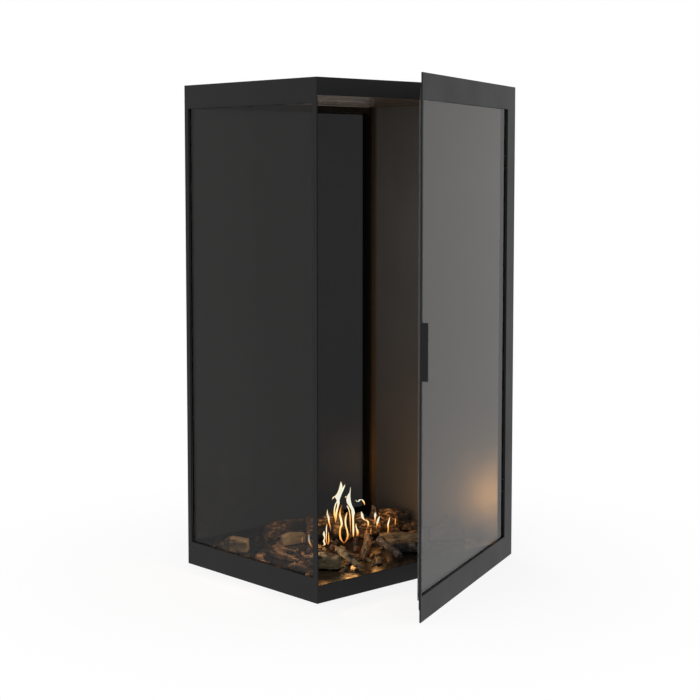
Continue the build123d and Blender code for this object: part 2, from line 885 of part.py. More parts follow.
def clip_profile(edge, sense, face, outward):
    """Z section of a clip round the pane's edge; sense points away from the pane."""
    riser_in = edge + sense * seat_gap
    riser_out = riser_in + sense * thin_sheet
    hook = edge - sense * glass_grip * 3 / 4
    foot = riser_out + sense * (door_lip_depth + door_stand_off)
    hook_in = face - outward * thin_sheet
    foot_out = outward * abs(door_y(door_inner))
    low, high = sorted((hook_in, face))
    area(*sorted((hook, riser_out)), low, high)
    area(*sorted((riser_in, riser_out)), *sorted((hook_in, foot_out)))
    area(*sorted((riser_in, foot)), *sorted((foot_out - outward * thin_sheet, foot_out)))


def door_section(x):
    """Plane square to the door's length at x: local x is Z, local y points outward."""
    return Plane(origin=hinge_axis + door_along * door_x(x), x_dir=(0, 0, 1), z_dir=door_along)


upright_clip_shares = (0.1, 0.37, 0.63, 0.9)
level_clip_shares = (0.3, 0.75)

with BuildPart() as door_glass_clips:
    for share in upright_clip_shares:
        with BuildSketch(door_plan(stretch(glass_floor, glass_ceiling, share) - clip_width / 2)):
            clip_profile(door_x(glass_right), 1, door_y(door_glass_in), -1)
        extrude(amount=clip_width)
    for share in level_clip_shares:
        along = stretch(glass_left, glass_right, share) - clip_width / 2
        with BuildSketch(door_section(along)):
            clip_profile(glass_ceiling, 1, -door_y(door_glass_in), 1)
            clip_profile(glass_floor, -1, -door_y(door_glass_in), 1)
        extrude(amount=clip_width)
finish(door_glass_clips, "door_glass_clips")

with BuildPart() as door_handle:
    with BuildSketch(on_door(door_outer)):
        area(door_x(-half_width), door_x(-half_width + free_strip), handle_floor, handle_floor + handle_length)
    extrude(amount=handle_foot)
    with BuildSketch(on_door(door_inner)):
        area(door_x(-half_width), door_x(-half_width + handle_blade), handle_floor, handle_floor + handle_length)
    extrude(amount=door_plate + handle_reach)
    tip = door_handle.faces().sort_by(lambda face: (face.center() - hinge_axis).dot(door_outward))[-1]
    fillet(tip.edges().filter_by(Axis.Z), radius=handle_blade / 4)
finish(door_handle, "door_handle")

with BuildPart() as door_strikes:
    with BuildSketch(on_door(door_inner + door_gasket)):
        for z in rail_heights:
            area(
                door_x(magnet_x - strike_length / 2),
                door_x(magnet_x + strike_length / 2),
                z - strike_width / 2,
                z + strike_width / 2,
            )
    extrude(amount=door_gasket)
finish(door_strikes, "door_strikes")

with BuildPart() as catch_magnets:
    for z in rail_heights:
        with BuildSketch(facing_front(wall_front)):
            with Locations((magnet_x, z)):
                Circle(magnet_r)
        extrude(amount=sheet)
        with BuildSketch(facing_front(wall_front + magnet_flange)):
            with Locations((magnet_x, z)):
                Circle(magnet_r + magnet_flange)
        extrude(amount=magnet_flange)
finish(catch_magnets, "catch_magnets")


# Logs, chips and embers

bark_section_shares = (
    (-0.28, 0.0), (0.22, 0.0), (0.45, 0.18), (0.5, 0.45), (0.42, 0.75),
    (0.18, 0.97), (-0.12, 1.0), (-0.4, 0.8), (-0.5, 0.48), (-0.44, 0.16),
)
split_section_shares = (
    (-0.5, 0.0), (0.42, 0.0), (0.5, 0.22), (0.36, 0.62), (0.1, 0.95), (-0.1, 1.0), (-0.34, 0.55),
)
plank_section_shares = ((-0.5, 0.0), (0.5, 0.04), (0.46, 0.8), (0.1, 1.0), (-0.42, 0.86))
block_section_shares = ((-0.46, 0.0), (0.5, 0.0), (0.46, 0.85), (0.2, 1.0), (-0.5, 0.9))
lump_section_shares = ((-0.3, 0.0), (0.34, 0.0), (0.5, 0.5), (0.06, 1.0), (-0.46, 0.6))

# Each station: share of the length, of the width, of the height, and sideways shift
long_station_shares = (
    (0.0, 0.8, 0.86, 0.0), (0.12, 1.0, 0.97, 0.03), (0.42, 0.92, 1.0, -0.04),
    (0.72, 1.0, 0.92, 0.05), (1.0, 0.78, 0.8, 0.0),
)
short_station_shares = ((0.0, 0.84, 0.8, 0.04), (0.3, 1.0, 1.0, -0.03), (1.0, 0.72, 0.84, 0.02))
chip_station_shares = ((0.0, 0.55, 0.6, 0.1), (0.45, 1.0, 1.0, -0.06), (1.0, 0.35, 0.45, 0.0))


def firewood(start_share, end_share, wide_share, high_share, section_shares, station_shares):
    """Irregular log or chip: one outline scaled and shifted from station to station."""
    floor = hearth_top + seat_gap
    ends = []
    for x_share, y_share, rise_share in (start_share, end_share):
        ends.append(Vector(x_share * half_width, y_share * half_depth, floor + rise_share * log_girth))
    run = ends[1] - ends[0]
    across = Vector(0, 0, 1).cross(run).normalized()
    with BuildPart() as wood:
        for along, wide, high, shift in station_shares:
            centre = ends[0] + run * along + across * (shift * wide_share * log_girth)
            with BuildSketch(Plane(origin=centre, x_dir=across, z_dir=run)):
                with BuildLine():
                    Polyline(
                        *[
                            (x * wide * wide_share * log_girth, y * high * high_share * log_girth)
                            for x, y in section_shares
                        ],
                        close=True,
                    )
                make_face()
        loft(ruled=True)
    return wood


small_log_share = (burner_left + 0.6 * log_girth) / half_width
beside_burner_share = (burner_right + log_girth / 2) / half_width
by_column_share = (column_face - 0.42 * log_girth) / half_width

# Start and end: shares of the half width, half depth and girth; then width and height
log_shares = {
    "log_back_bark": ((-0.117, 0.533, 0.0), (0.35, 0.036, 0.0), 1.0, 1.2, bark_section_shares),
    "log_left_back": ((-0.4, 0.756, 0.0), (0.117, 0.791, 0.0), 0.68, 0.76, bark_section_shares),
    "log_left_small": ((small_log_share, 0.453, 0.0), (small_log_share + 0.21, 0.4, 0.0), 0.6, 0.6, split_section_shares),
    "log_left_block": ((-0.853, 0.658, 0.0), (-0.73, 0.458, 0.0), 0.8, 0.76, block_section_shares),
    "log_right_split": ((0.15, -0.213, 0.0), (0.427, -0.524, 0.0), 0.68, 0.68, block_section_shares),
    "log_right_back": ((beside_burner_share, 0.444, 0.0), (by_column_share, 0.196, 0.0), 0.76, 0.86, bark_section_shares),
    "log_right_front": ((0.55, -0.422, 0.0), (0.767, -0.667, 0.0), 0.72, 0.7, split_section_shares),
    "log_front_dark": ((0.06, -0.524, 0.0), (0.367, -0.844, 0.0), 0.6, 0.46, bark_section_shares),
    "log_charred": ((-0.007, -0.409, 0.5), (-0.04, -0.8, 0.0), 0.36, 0.34, bark_section_shares),
    "log_plank": ((-0.387, -0.378, 0.45), (-0.467, -0.831, 0.0), 0.44, 0.26, plank_section_shares),
    "log_front_block": ((-0.667, -0.391, 0.0), (-0.55, -0.658, 0.0), 0.8, 0.68, block_section_shares),
}
for log_name, (start, end, wide, high, section) in log_shares.items():
    stations = long_station_shares if section is bark_section_shares else short_station_shares
    finish(firewood(start, end, wide, high, section, stations), log_name)

chip_shares = (
    ((-0.583, 0.347, 0.0), (-0.473, 0.107, 0.0), 0.32, 0.24),
    ((-0.677, 0.2, 0.0), (-0.657, -0.2, 0.0), 0.4, 0.32),
    ((-0.267, -0.573, 0.0), (-0.197, -0.538, 0.86), 0.4, 0.24),
    ((-0.333, -0.356, 0.0), (-0.207, -0.436, 0.0), 0.44, 0.24),
    ((-0.2, -0.733, 0.0), (-0.283, -0.8, 0.0), 0.28, 0.18),
    ((-0.8, -0.267, 0.0), (-0.75, -0.489, 0.0), 0.36, 0.26),
    ((-0.833, 0.089, 0.0), (-0.783, 0.267, 0.0), 0.4, 0.24),
    ((0.633, 0.111, 0.0), (0.773, -0.044, 0.0), 0.8, 0.5),
    ((0.633, -0.244, 0.0), (0.8, -0.391, 0.9), 0.4, 0.24),
    ((0.433, -0.2, 0.0), (0.5, -0.089, 0.0), 0.36, 0.28),
    ((-0.56, -0.111, 0.0), (-0.45, -0.2, 0.0), 0.36, 0.22),
    ((-0.9, 0.778, 0.0), (-0.7, 0.844, 0.0), 0.36, 0.3),
    ((-0.087, -0.373, 0.0), (-0.073, -0.338, 0.9), 0.4, 0.3),
    ((0.183, 0.4, 0.0), (0.16, 0.422, 1.46), 0.44, 0.3),
    ((0.38, 0.196, 0.0), (0.4, 0.227, 1.4), 0.4, 0.3),
)
with BuildPart() as wood_chips:
    for start, end, wide, high in chip_shares:
        add(firewood(start, end, wide, high, plank_section_shares, chip_station_shares).part)
finish(wood_chips, "wood_chips")

ember_shares = (
    (-0.34, 0.1), (-0.24, -0.06), (-0.12, 0.06), (-0.04, -0.12), (0.06, 0.02), (0.16, -0.06),
    (-0.3, -0.22), (-0.13, -0.26), (0.3, -0.16), (0.46, 0.06), (-0.42, 0.02), (-0.02, -0.27),
)
ember_length_share = 0.06
ember_size_share = 0.3

with BuildPart() as embers:
    for x_share, y_share in ember_shares:
        start = (x_share, y_share, 0.0)
        end = (x_share + ember_length_share, y_share + ember_length_share, 0.0)
        lump = firewood(start, end, ember_size_share, ember_size_share, lump_section_shares, chip_station_shares)
        add(lump.part)
finish(embers, "embers")
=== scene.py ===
import math
import random

import bmesh
import bpy
from bpy.props import FloatProperty, FloatVectorProperty, IntProperty, PointerProperty
from mathutils import Euler, Matrix, Vector, noise


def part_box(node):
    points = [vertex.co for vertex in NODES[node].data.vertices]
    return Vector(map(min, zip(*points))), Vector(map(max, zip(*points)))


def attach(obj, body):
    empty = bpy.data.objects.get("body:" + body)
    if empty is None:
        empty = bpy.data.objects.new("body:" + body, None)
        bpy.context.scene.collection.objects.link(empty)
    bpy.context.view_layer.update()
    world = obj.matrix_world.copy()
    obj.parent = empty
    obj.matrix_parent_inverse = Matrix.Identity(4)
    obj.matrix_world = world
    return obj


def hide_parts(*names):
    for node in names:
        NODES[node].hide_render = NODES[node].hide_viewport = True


bl_info = {
    "name": "Three-sided fireplace looks",
    "version": (1, 0, 0),
    "blender": (4, 5, 0),
    "location": "View3D > Sidebar > Fireplace",
    "description": "Finishes, logs, flames and stage of a three-sided gas fireplace",
    "category": "Object",
}

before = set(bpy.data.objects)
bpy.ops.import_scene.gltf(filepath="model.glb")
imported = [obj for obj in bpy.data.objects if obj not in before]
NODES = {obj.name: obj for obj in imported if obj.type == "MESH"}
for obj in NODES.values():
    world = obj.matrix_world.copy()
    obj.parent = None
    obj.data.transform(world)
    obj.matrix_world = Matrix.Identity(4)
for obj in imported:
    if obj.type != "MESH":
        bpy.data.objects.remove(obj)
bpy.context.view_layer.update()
HEARTH_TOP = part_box("hearth_plate")[1].z
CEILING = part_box("ceiling_front")[0].z

CASE = "body"
DOOR_TURN = math.radians(24.16)


# Graph helpers

class Value:
    """A shader socket that takes part in sums and adds the Math nodes they need."""

    def __init__(self, graph, socket):
        self.graph = graph
        self.socket = socket

    def maths(self, operation, *parts, clamp=False):
        settings = {"operation": operation, "use_clamp": clamp}
        return self.graph.node("ShaderNodeMath", settings, dict(enumerate(parts)))

    def __add__(self, other):
        return self.maths("ADD", self, other)

    def __sub__(self, other):
        return self.maths("SUBTRACT", self, other)

    def __rsub__(self, other):
        return self.maths("SUBTRACT", other, self)

    def __mul__(self, other):
        return self.maths("MULTIPLY", self, other)

    def __pow__(self, other):
        return self.maths("POWER", self, other)

    def clamped(self):
        return self.maths("ADD", self, 0.0, clamp=True)

    def most(self, other):
        return self.maths("MAXIMUM", self, other)

    def size(self):
        return self.maths("ABSOLUTE", self)

    def over(self, limit):
        """1 above the limit and 0 below it."""
        return self.maths("GREATER_THAN", self, limit)

    def ridge(self):
        """1 where the value is a half and 0 at both of its ends."""
        return 1.0 - (self * 2.0 - 1.0).size()


class Graph:
    """A node tree, with one method that adds any node to it."""

    def __init__(self, tree):
        self.tree = tree

    def node(self, kind, settings=None, inputs=None, output=0):
        made = self.tree.nodes.new(kind)
        for name, setting in (settings or {}).items():
            if name == "stops":
                self.set_stops(made.color_ramp.elements, setting)
            else:
                setattr(made, name, setting)
        for name, given in (inputs or {}).items():
            self.feed(made.inputs[name], given)
        return Value(self, made.outputs[output])

    def set_stops(self, elements, stops):
        while len(elements) < len(stops):
            elements.new(1.0)
        for element, (place, color) in zip(elements, stops):
            element.position = place
            element.color = (*color, 1.0)

    def feed(self, socket, given):
        if isinstance(given, Value):
            self.tree.links.new(given.socket, socket)
        elif socket.type == "RGBA":
            socket.default_value = (*given, 1.0)
        else:
            socket.default_value = given

    def measure(self, operation, *parts):
        """Number that vector maths gives."""
        return self.node("ShaderNodeVectorMath", {"operation": operation}, dict(enumerate(parts)), output="Value")

    def ray(self, kind):
        return self.node("ShaderNodeLightPath", output=kind)

    def coordinates(self, stretch=(1.0, 1.0, 1.0)):
        """Places on the piece in metres, stretched along the axes."""
        place = self.node("ShaderNodeTexCoord", output="Object")
        return self.node("ShaderNodeMapping", inputs={"Vector": place, "Scale": stretch})

    def grain(self, stretch):
        """Places along and across the wood, as each log's own mesh keeps them."""
        place = self.node("ShaderNodeAttribute", {"attribute_name": "grain"}, output="Vector")
        return self.node("ShaderNodeMapping", inputs={"Vector": place, "Scale": stretch})

    def speckle(self, place, scale, detail=3.0, roughness=0.55):
        inputs = {"Vector": place, "Scale": scale, "Detail": detail, "Roughness": roughness}
        return self.node("ShaderNodeTexNoise", inputs=inputs)

    def cells(self, place, scale, feature="DISTANCE_TO_EDGE"):
        return self.node("ShaderNodeTexVoronoi", {"feature": feature}, {"Vector": place, "Scale": scale})

    def ramp(self, factor, stops):
        return self.node("ShaderNodeValToRGB", {"stops": stops}, {"Fac": factor})

    def mix(self, factor, low, high):
        """Colour between low and high."""
        return self.node("ShaderNodeMix", {"data_type": "RGBA"}, {0: factor, 6: low, 7: high}, output=2)

    def span(self, factor, low, high, to_low, to_high):
        """Value taken from one span to another, held at its ends."""
        inputs = {"Value": factor, "From Min": low, "From Max": high, "To Min": to_low, "To Max": to_high}
        return self.node("ShaderNodeMapRange", inputs=inputs)

    def bump(self, height, distance, strength=1.0):
        return self.node("ShaderNodeBump", inputs={"Height": height, "Distance": distance, "Strength": strength})


class Finish(Graph):
    """The material of one finish, with its surface shader."""

    def __init__(self, name, **constants):
        self.material = bpy.data.materials.new(name)
        self.material.use_nodes = True
        super().__init__(self.material.node_tree)
        self.surface = self.tree.nodes["Principled BSDF"]
        self.end = self.tree.nodes["Material Output"]
        for socket, constant in constants.items():
            self.give(socket.replace("_", " "), constant)

    def give(self, socket, given):
        self.feed(self.surface.inputs[socket], given)

    def see_through(self, share, tint):
        """Mix the surface with clear, tinted air; share is how much of the surface stays."""
        clear = self.node("ShaderNodeBsdfTransparent", inputs={"Color": tint})
        solid = Value(self, self.surface.outputs[0])
        mixed = self.node("ShaderNodeMixShader", inputs={0: share, 1: clear, 2: solid})
        self.tree.links.new(mixed.socket, self.end.inputs["Surface"])


def dress(finish, *names):
    """Give a finish to CAD nodes."""
    for name in names:
        slots = NODES[name].data.materials
        slots.clear()
        slots.append(finish.material)


def shade(color, factor):
    return tuple(channel * factor for channel in color)


# Finishes

# Black and brown of the painted shade in the firebox
PAINTED_SHADE_BLACK = (0.016, 0.011, 0.006)
PAINTED_SHADE_BROWN = (0.15, 0.095, 0.06)
CHAR = (0.012, 0.0115, 0.012)
GRIT_DEPTH = 0.00008
BRUSH_DEPTH = 0.00006
FIBRE_DEPTH = 0.0009
FACE_LIMIT = 0.7
EDGE_SHARE = 0.12


def satin_paint(name, color, roughness, specular, streak=0.0, metallic=0.0, painted_shades=()):
    """Heat-resistant paint: a satin coat with fine grit. Each painted shade grows along its way, from near to far."""
    paint = Finish(name, Specular_IOR_Level=specular, Metallic=metallic)
    place = paint.coordinates()
    cloud = paint.speckle(place, 7.0, 2.0)
    grit = paint.speckle(place, 900.0, 2.0)
    tone = cloud
    if streak:
        tall = paint.speckle(paint.coordinates((1.0, 1.0, 0.12)), 34.0, 3.0)
        tone = cloud * (1.0 - streak) + tall * streak
    tint = paint.mix(tone, shade(color, 0.86), shade(color, 1.14))
    # Painted shade: each one darkens the paint along its way
    for way, near, far, stain_and_shade in painted_shades:
        past = paint.measure("DOT_PRODUCT", place, way)
        tint = paint.mix(paint.span(past, near, far, 0.0, 1.0), tint, stain_and_shade)
    paint.give("Base Color", tint)
    paint.give("Roughness", paint.span(tone, 0.3, 0.7, roughness - 0.04, roughness + 0.04))
    paint.give("Normal", paint.bump(grit, GRIT_DEPTH, 0.35 - 0.3 * metallic))
    return paint


def brushed_steel(name, color, roughness, along=(1.0, 30.0, 30.0), heat=None, soot=0.0):
    """Brushed steel with fine lines along one axis, heat colours and a film of soot."""
    steel = Finish(name, Metallic=1.0)
    lines = steel.speckle(steel.coordinates(along), 60.0, 4.0)
    cloud = steel.speckle(steel.coordinates(), 9.0, 3.0)
    tone = steel.mix(lines, shade(color, 0.8), shade(color, 1.2))
    if heat:
        tone = steel.mix(steel.span(cloud, 0.45, 0.7, 0.0, 0.7), tone, heat)
    rough = steel.span(lines, 0.3, 0.7, roughness - 0.06, roughness + 0.08)
    if soot:
        film = steel.span(steel.speckle(steel.coordinates(), 22.0, 5.0), 0.42, 0.62, 0.0, soot)
        tone = steel.mix(film, tone, (0.01, 0.009, 0.008))
        rough = (rough + film * 0.35).clamped()
    steel.give("Base Color", tone)
    steel.give("Roughness", rough)
    steel.give("Normal", steel.bump(lines, BRUSH_DEPTH, 0.4))
    return steel


def smoked_glass(name, color, ior, straight, slanting, tint, facing_way):
    """Dark pane: clearer seen straight on, closer to a mirror seen along its face, clear at its cut edges."""
    pane = Finish(name, IOR=ior)
    place = pane.coordinates((1.0, 1.0, 0.5))
    film = pane.speckle(place, 5.0, 4.0)
    pane.give("Base Color", pane.mix(film, shade(color, 0.8), shade(color, 1.2)))
    pane.give("Roughness", pane.span(film, 0.35, 0.7, 0.015, 0.05))
    facing = pane.node("ShaderNodeLayerWeight", inputs={"Blend": 0.5}, output="Facing")
    normal = pane.node("ShaderNodeTexCoord", output="Normal")
    face = pane.measure("DOT_PRODUCT", normal, facing_way).size().over(FACE_LIMIT)
    pane.see_through(pane.span(facing, 0.0, 0.7, straight, slanting) * face + (1.0 - face) * EDGE_SHARE, tint)
    return pane


def woven_tape(name, color):
    """Gasket tape with threads that cross."""
    tape = Finish(name, Specular_IOR_Level=0.2)
    waves = {"wave_type": "BANDS", "bands_direction": "DIAGONAL"}
    warp = tape.node("ShaderNodeTexWave", waves, {"Vector": tape.coordinates(), "Scale": 320.0, "Distortion": 0.6})
    turned = {"Vector": tape.coordinates((1.0, -1.0, -1.0)), "Scale": 320.0, "Distortion": 0.6}
    weft = tape.node("ShaderNodeTexWave", waves, turned)
    weave = warp.most(weft)
    tape.give("Base Color", tape.mix(weave, shade(color, 0.5), shade(color, 1.6)))
    tape.give("Roughness", tape.span(weave, 0.0, 1.0, 0.95, 0.8))
    tape.give("Normal", tape.bump(weave, 0.0003, 0.8))
    return tape


def kiln_ceramic(name, color):
    """Fired ceramic with fine grains and stains."""
    ceramic = Finish(name, Specular_IOR_Level=0.4)
    grains = ceramic.speckle(ceramic.coordinates(), 500.0, 4.0)
    stain_and_shade = ceramic.speckle(ceramic.coordinates(), 45.0, 4.0)
    ceramic.give("Base Color", ceramic.mix(ceramic.span(stain_and_shade, 0.5, 0.75, 0.0, 0.6), color, (0.2, 0.16, 0.12)))
    ceramic.give("Roughness", ceramic.span(grains, 0.3, 0.7, 0.6, 0.85))
    ceramic.give("Normal", ceramic.bump(grains, 0.0002, 0.5))
    return ceramic


def burnt_wood(name, pale, deep, charred, flecked):
    """Ceramic-fibre wood: long fibres and flecks between two browns, blackened where the flames reach."""
    wood = Finish(name, Specular_IOR_Level=0.25)
    fibres = wood.speckle(wood.grain((9.0, 150.0, 150.0)), 1.0, 4.0, 0.6)
    bands = wood.speckle(wood.grain((4.0, 42.0, 42.0)), 1.0, 3.0)
    patches = wood.speckle(wood.coordinates(), 24.0, 4.0, 0.6)
    soot = wood.span(patches, charred[0], charred[1], 0.0, 1.0)
    raised = wood.node("ShaderNodeAttribute", {"attribute_name": "raised"}, output="Fac")
    crest = (fibres.ridge() * 0.5 + bands * 0.5 + raised * 0.8 - 0.5).clamped()
    flecks = wood.span(wood.speckle(wood.grain((100.0, 230.0, 230.0)), 1.0, 3.0, 0.6), 0.52, 0.62, 0.0, 1.0)
    tone = wood.mix((crest ** 1.8) * (1.0 - flecked) + flecks * flecked, deep, pale)
    wood.give("Base Color", wood.mix(soot, tone, CHAR))
    wood.give("Roughness", wood.span(fibres, 0.3, 0.7, 0.7, 0.95))
    wood.give("Normal", wood.bump(fibres + bands * 0.5, FIBRE_DEPTH, 0.7))
    return wood


def ember_coal(name, strength):
    """Coal with cracks that glow where it is hot."""
    coal = Finish(name, Specular_IOR_Level=0.2, Emission_Strength=strength)
    cracks = coal.cells(coal.coordinates(), 130.0)
    heat = coal.speckle(coal.coordinates(), 30.0, 3.0)
    glow = coal.span(cracks, 0.0, 0.22, 1.0, 0.0) * coal.span(heat, 0.42, 0.66, 0.0, 1.0)
    stops = ((0.0, (0.0, 0.0, 0.0)), (0.5, (0.55, 0.09, 0.01)), (1.0, (1.0, 0.42, 0.08)))
    coal.give("Emission Color", coal.ramp(glow, stops))
    coal.give("Base Color", coal.mix(cracks, (0.02, 0.018, 0.017), (0.09, 0.08, 0.075)))
    coal.give("Roughness", coal.span(heat, 0.3, 0.7, 0.8, 0.98))
    coal.give("Normal", coal.bump(cracks, 0.001, 0.7))
    return coal


def flame_glow(name, strength):
    """Flame: dark red and faint at the root, orange, yellow, then white and dense."""
    flame = Finish(name, Base_Color=(0.0, 0.0, 0.0), Roughness=1.0, Specular_IOR_Level=0.0)
    flame.give("Emission Strength", strength)
    heat = flame.node("ShaderNodeAttribute", {"attribute_name": "warmth"}, output="Fac")
    wisp = flame.speckle(flame.coordinates((1.0, 1.0, 0.4)), 120.0, 2.0)
    warmth = heat + wisp * 0.16 - 0.08
    stops = (
        (0.2, (0.10, 0.02, 0.03)),
        (0.45, (0.6, 0.14, 0.02)),
        (0.7, (0.95, 0.42, 0.08)),
        (0.88, (0.86, 0.66, 0.36)),
        (1.0, (0.55, 0.58, 0.53)),
    )
    rim = flame.node("ShaderNodeAttribute", {"attribute_name": "rim"}, output="Fac")
    tone = flame.mix(flame.span(rim, 0.7, 1.0, 0.0, 0.8), flame.ramp(warmth.clamped(), stops), (1.0, 0.62, 0.16))
    flame.give("Emission Color", tone)
    flame.see_through(flame.span(warmth, 0.15, 0.8, 0.15, 0.95), (1.0, 1.0, 1.0))
    return flame


# Settings

class CaseSettings(bpy.types.PropertyGroup):
    """Paints of the case, the door and the firebox."""

    case_color: FloatVectorProperty(
        name="Case paint", description="Paint of the case", subtype="COLOR", default=(0.0056, 0.0056, 0.0057)
    )
    door_color: FloatVectorProperty(
        name="Door paint", description="Paint of the door frame", subtype="COLOR", default=(0.0066, 0.0066, 0.0067)
    )
    handle_color: FloatVectorProperty(
        name="Handle paint", description="Paint of the handle", subtype="COLOR", default=(0.006, 0.006, 0.006)
    )
    liner_color: FloatVectorProperty(
        name="Liner paint", description="Heat-toned paint of the inner wall", subtype="COLOR",
        default=(0.365, 0.35, 0.335),
    )
    ceiling_color: FloatVectorProperty(
        name="Ceiling paint", description="Paint of the firebox's ceiling", subtype="COLOR",
        default=(0.72, 0.66, 0.625),
    )
    paint_roughness: FloatProperty(
        name="Paint roughness", description="How dull the case paint is", subtype="FACTOR", min=0, max=1, default=0.5
    )
    liner_roughness: FloatProperty(
        name="Liner roughness", description="How dull the inner wall is", subtype="FACTOR", min=0, max=1,
        default=0.38,
    )


class GlassSettings(bpy.types.PropertyGroup):
    """How dark the panes are, seen straight on and along their face."""

    smoke_color: FloatVectorProperty(
        name="Smoke", description="Colour of the dark glass", subtype="COLOR", default=(0.004, 0.004, 0.0045)
    )
    left_share: FloatProperty(
        name="Left pane", description="How dense the left pane is", subtype="FACTOR", min=0, max=1, default=0.26
    )
    back_share: FloatProperty(
        name="Back pane", description="How dense the back pane is", subtype="FACTOR", min=0, max=1, default=0.85
    )
    door_share: FloatProperty(
        name="Door pane", description="How dense the door pane is", subtype="FACTOR", min=0, max=1, default=0.34
    )


class FireSettings(bpy.types.PropertyGroup):
    """The burning logs, flames and the light they give."""

    voxel: FloatProperty(
        name="Log mesh", description="Mesh size on the logs", unit="LENGTH", min=0.001, max=0.01, default=0.0022
    )
    seed: IntProperty(name="Seed", description="Start of the random numbers", default=7)
    splinters: IntProperty(name="Splinters", description="Loose splinters on the floor", min=0, default=170)
    flame_strength: FloatProperty(name="Flames", description="Brightness of the flames", min=0, default=1.5)
    ember_strength: FloatProperty(name="Embers", description="Brightness of the embers", min=0, default=0.1)
    fire_power: FloatProperty(
        name="Firelight", description="Power of each light in the flames", unit="POWER", min=0, default=0.15
    )
    glint_power: FloatProperty(
        name="Glints", description="Power of the flames' glints on the steel", unit="POWER", min=0, default=0.5
    )


class StageSettings(bpy.types.PropertyGroup):
    """Camera, lights and floor."""

    camera_place: FloatVectorProperty(
        name="Camera", description="Where the camera stands", subtype="TRANSLATION", unit="LENGTH",
        default=(-2.3480, -2.5667, 0.9008),
    )
    camera_turn: FloatProperty(
        name="Turn", description="Camera's turn from the back wall towards the right", subtype="ANGLE",
        default=math.radians(42.424),
    )
    camera_tilt: FloatProperty(
        name="Tilt", description="Camera's tilt below level", subtype="ANGLE", default=math.radians(4.647)
    )
    lens: FloatProperty(name="Lens", description="Focal length in millimetres", unit="CAMERA", default=78.327)
    shift: FloatProperty(name="Shift", description="Vertical lens shift", default=-0.08)
    ambient: FloatProperty(name="Ambient", description="Level of the room's light", min=0, default=0.75)
    key_power: FloatProperty(name="Key light", description="Power of the key light", unit="POWER", default=34.0)
    fill_power: FloatProperty(name="Fill light", description="Power of the fill light", unit="POWER", default=21.0)
    floor_color: FloatVectorProperty(
        name="Floor", description="Colour of the floor", subtype="COLOR", default=(0.9, 0.9, 0.9)
    )
    floor_radius: FloatProperty(name="Floor size", description="Radius of the floor", unit="LENGTH", default=9.0)


# Case, door and firebox

class FIRE_OT_case(bpy.types.Operator):
    """Paint the case's shells and posts"""

    bl_idname = "fireplace.case"
    bl_label = "Case paint"

    def execute(self, context):
        chosen = context.scene.fireplace_case
        paint = satin_paint("case_paint", chosen.case_color, chosen.paint_roughness, 0.19)
        dress(paint, "base_pan", "top_hood", "corner_post", "back_left_post", "column_casing", "back_frame")
        dress(paint, "upper_hinge_bracket", "lower_hinge_bracket")
        return {"FINISHED"}


class FIRE_OT_door(bpy.types.Operator):
    """Paint the door frame, its knuckles and the handle"""

    bl_idname = "fireplace.door"
    bl_label = "Door paint"

    def execute(self, context):
        chosen = context.scene.fireplace_case
        paint = satin_paint("door_paint", chosen.door_color, chosen.paint_roughness, 0.2)
        dress(paint, "door_frame", "upper_hinge_knuckle", "lower_hinge_knuckle")
        dress(satin_paint("handle_paint", chosen.handle_color, 0.5, 0.2), "door_handle")
        return {"FINISHED"}


DOWN = (0.0, 0.0, -1.0)
# Each painted shade: its way, where it begins and is full along that way, and its colour
LINER_PAINTED_SHADE = (
    # Painted shade: the wall grows darker towards the bottom, over the logs
    (DOWN, -0.85, -0.2, (0.19, 0.198, 0.208)),
    # Painted shade: a brown strip, then black, along the back corner where the liner meets the back pane
    ((-1.0, 1.0, 0.0), -0.074, -0.061, (0.11, 0.08, 0.05)),
    ((-1.0, 1.0, 0.0), -0.058, -0.052, PAINTED_SHADE_BLACK),
)
CEILING_PAINTED_SHADE = (
    # Painted shade: the ceiling darker and browner towards the column
    ((1.0, -0.9, 0.0), 0.05, 0.085, PAINTED_SHADE_BROWN),
    # Painted shade: the flange below the ceiling is black
    (DOWN, 0.0004 - CEILING, 0.0006 - CEILING, PAINTED_SHADE_BLACK),
)


class FIRE_OT_firebox(bpy.types.Operator):
    """Finish the firebox's wall, ceiling, floor and burner"""

    bl_idname = "fireplace.firebox"
    bl_label = "Firebox"

    def execute(self, context):
        chosen = context.scene.fireplace_case
        liner = satin_paint("liner_paint", chosen.liner_color, chosen.liner_roughness, 0.5, 0.6, 0.8, LINER_PAINTED_SHADE)
        dress(liner, "column_liner")
        ceiling = satin_paint("ceiling_paint", chosen.ceiling_color, 0.24, 0.5, 0.2, 0.6, CEILING_PAINTED_SHADE)
        dress(ceiling, "ceiling_front", "ceiling_rear")
        hearth = brushed_steel("hearth_steel", (0.3, 0.24, 0.17), 0.15, heat=(0.16, 0.1, 0.07), soot=0.6)
        dress(hearth, "hearth_plate")
        burner = brushed_steel("burner_steel", (0.2, 0.16, 0.13), 0.34, heat=(0.07, 0.06, 0.12), soot=0.6)
        dress(burner, "burner_plate", "burner_tray")
        return {"FINISHED"}


class FIRE_OT_flue(bpy.types.Operator):
    """Finish the flue's plenum and sockets"""

    bl_idname = "fireplace.flue"
    bl_label = "Flue"

    def execute(self, context):
        steel = brushed_steel("flue_steel", (0.52, 0.52, 0.53), 0.3, (1.0, 1.0, 40.0))
        dress(steel, "flue_plenum", "flue_socket_inner", "flue_socket_outer")
        return {"FINISHED"}


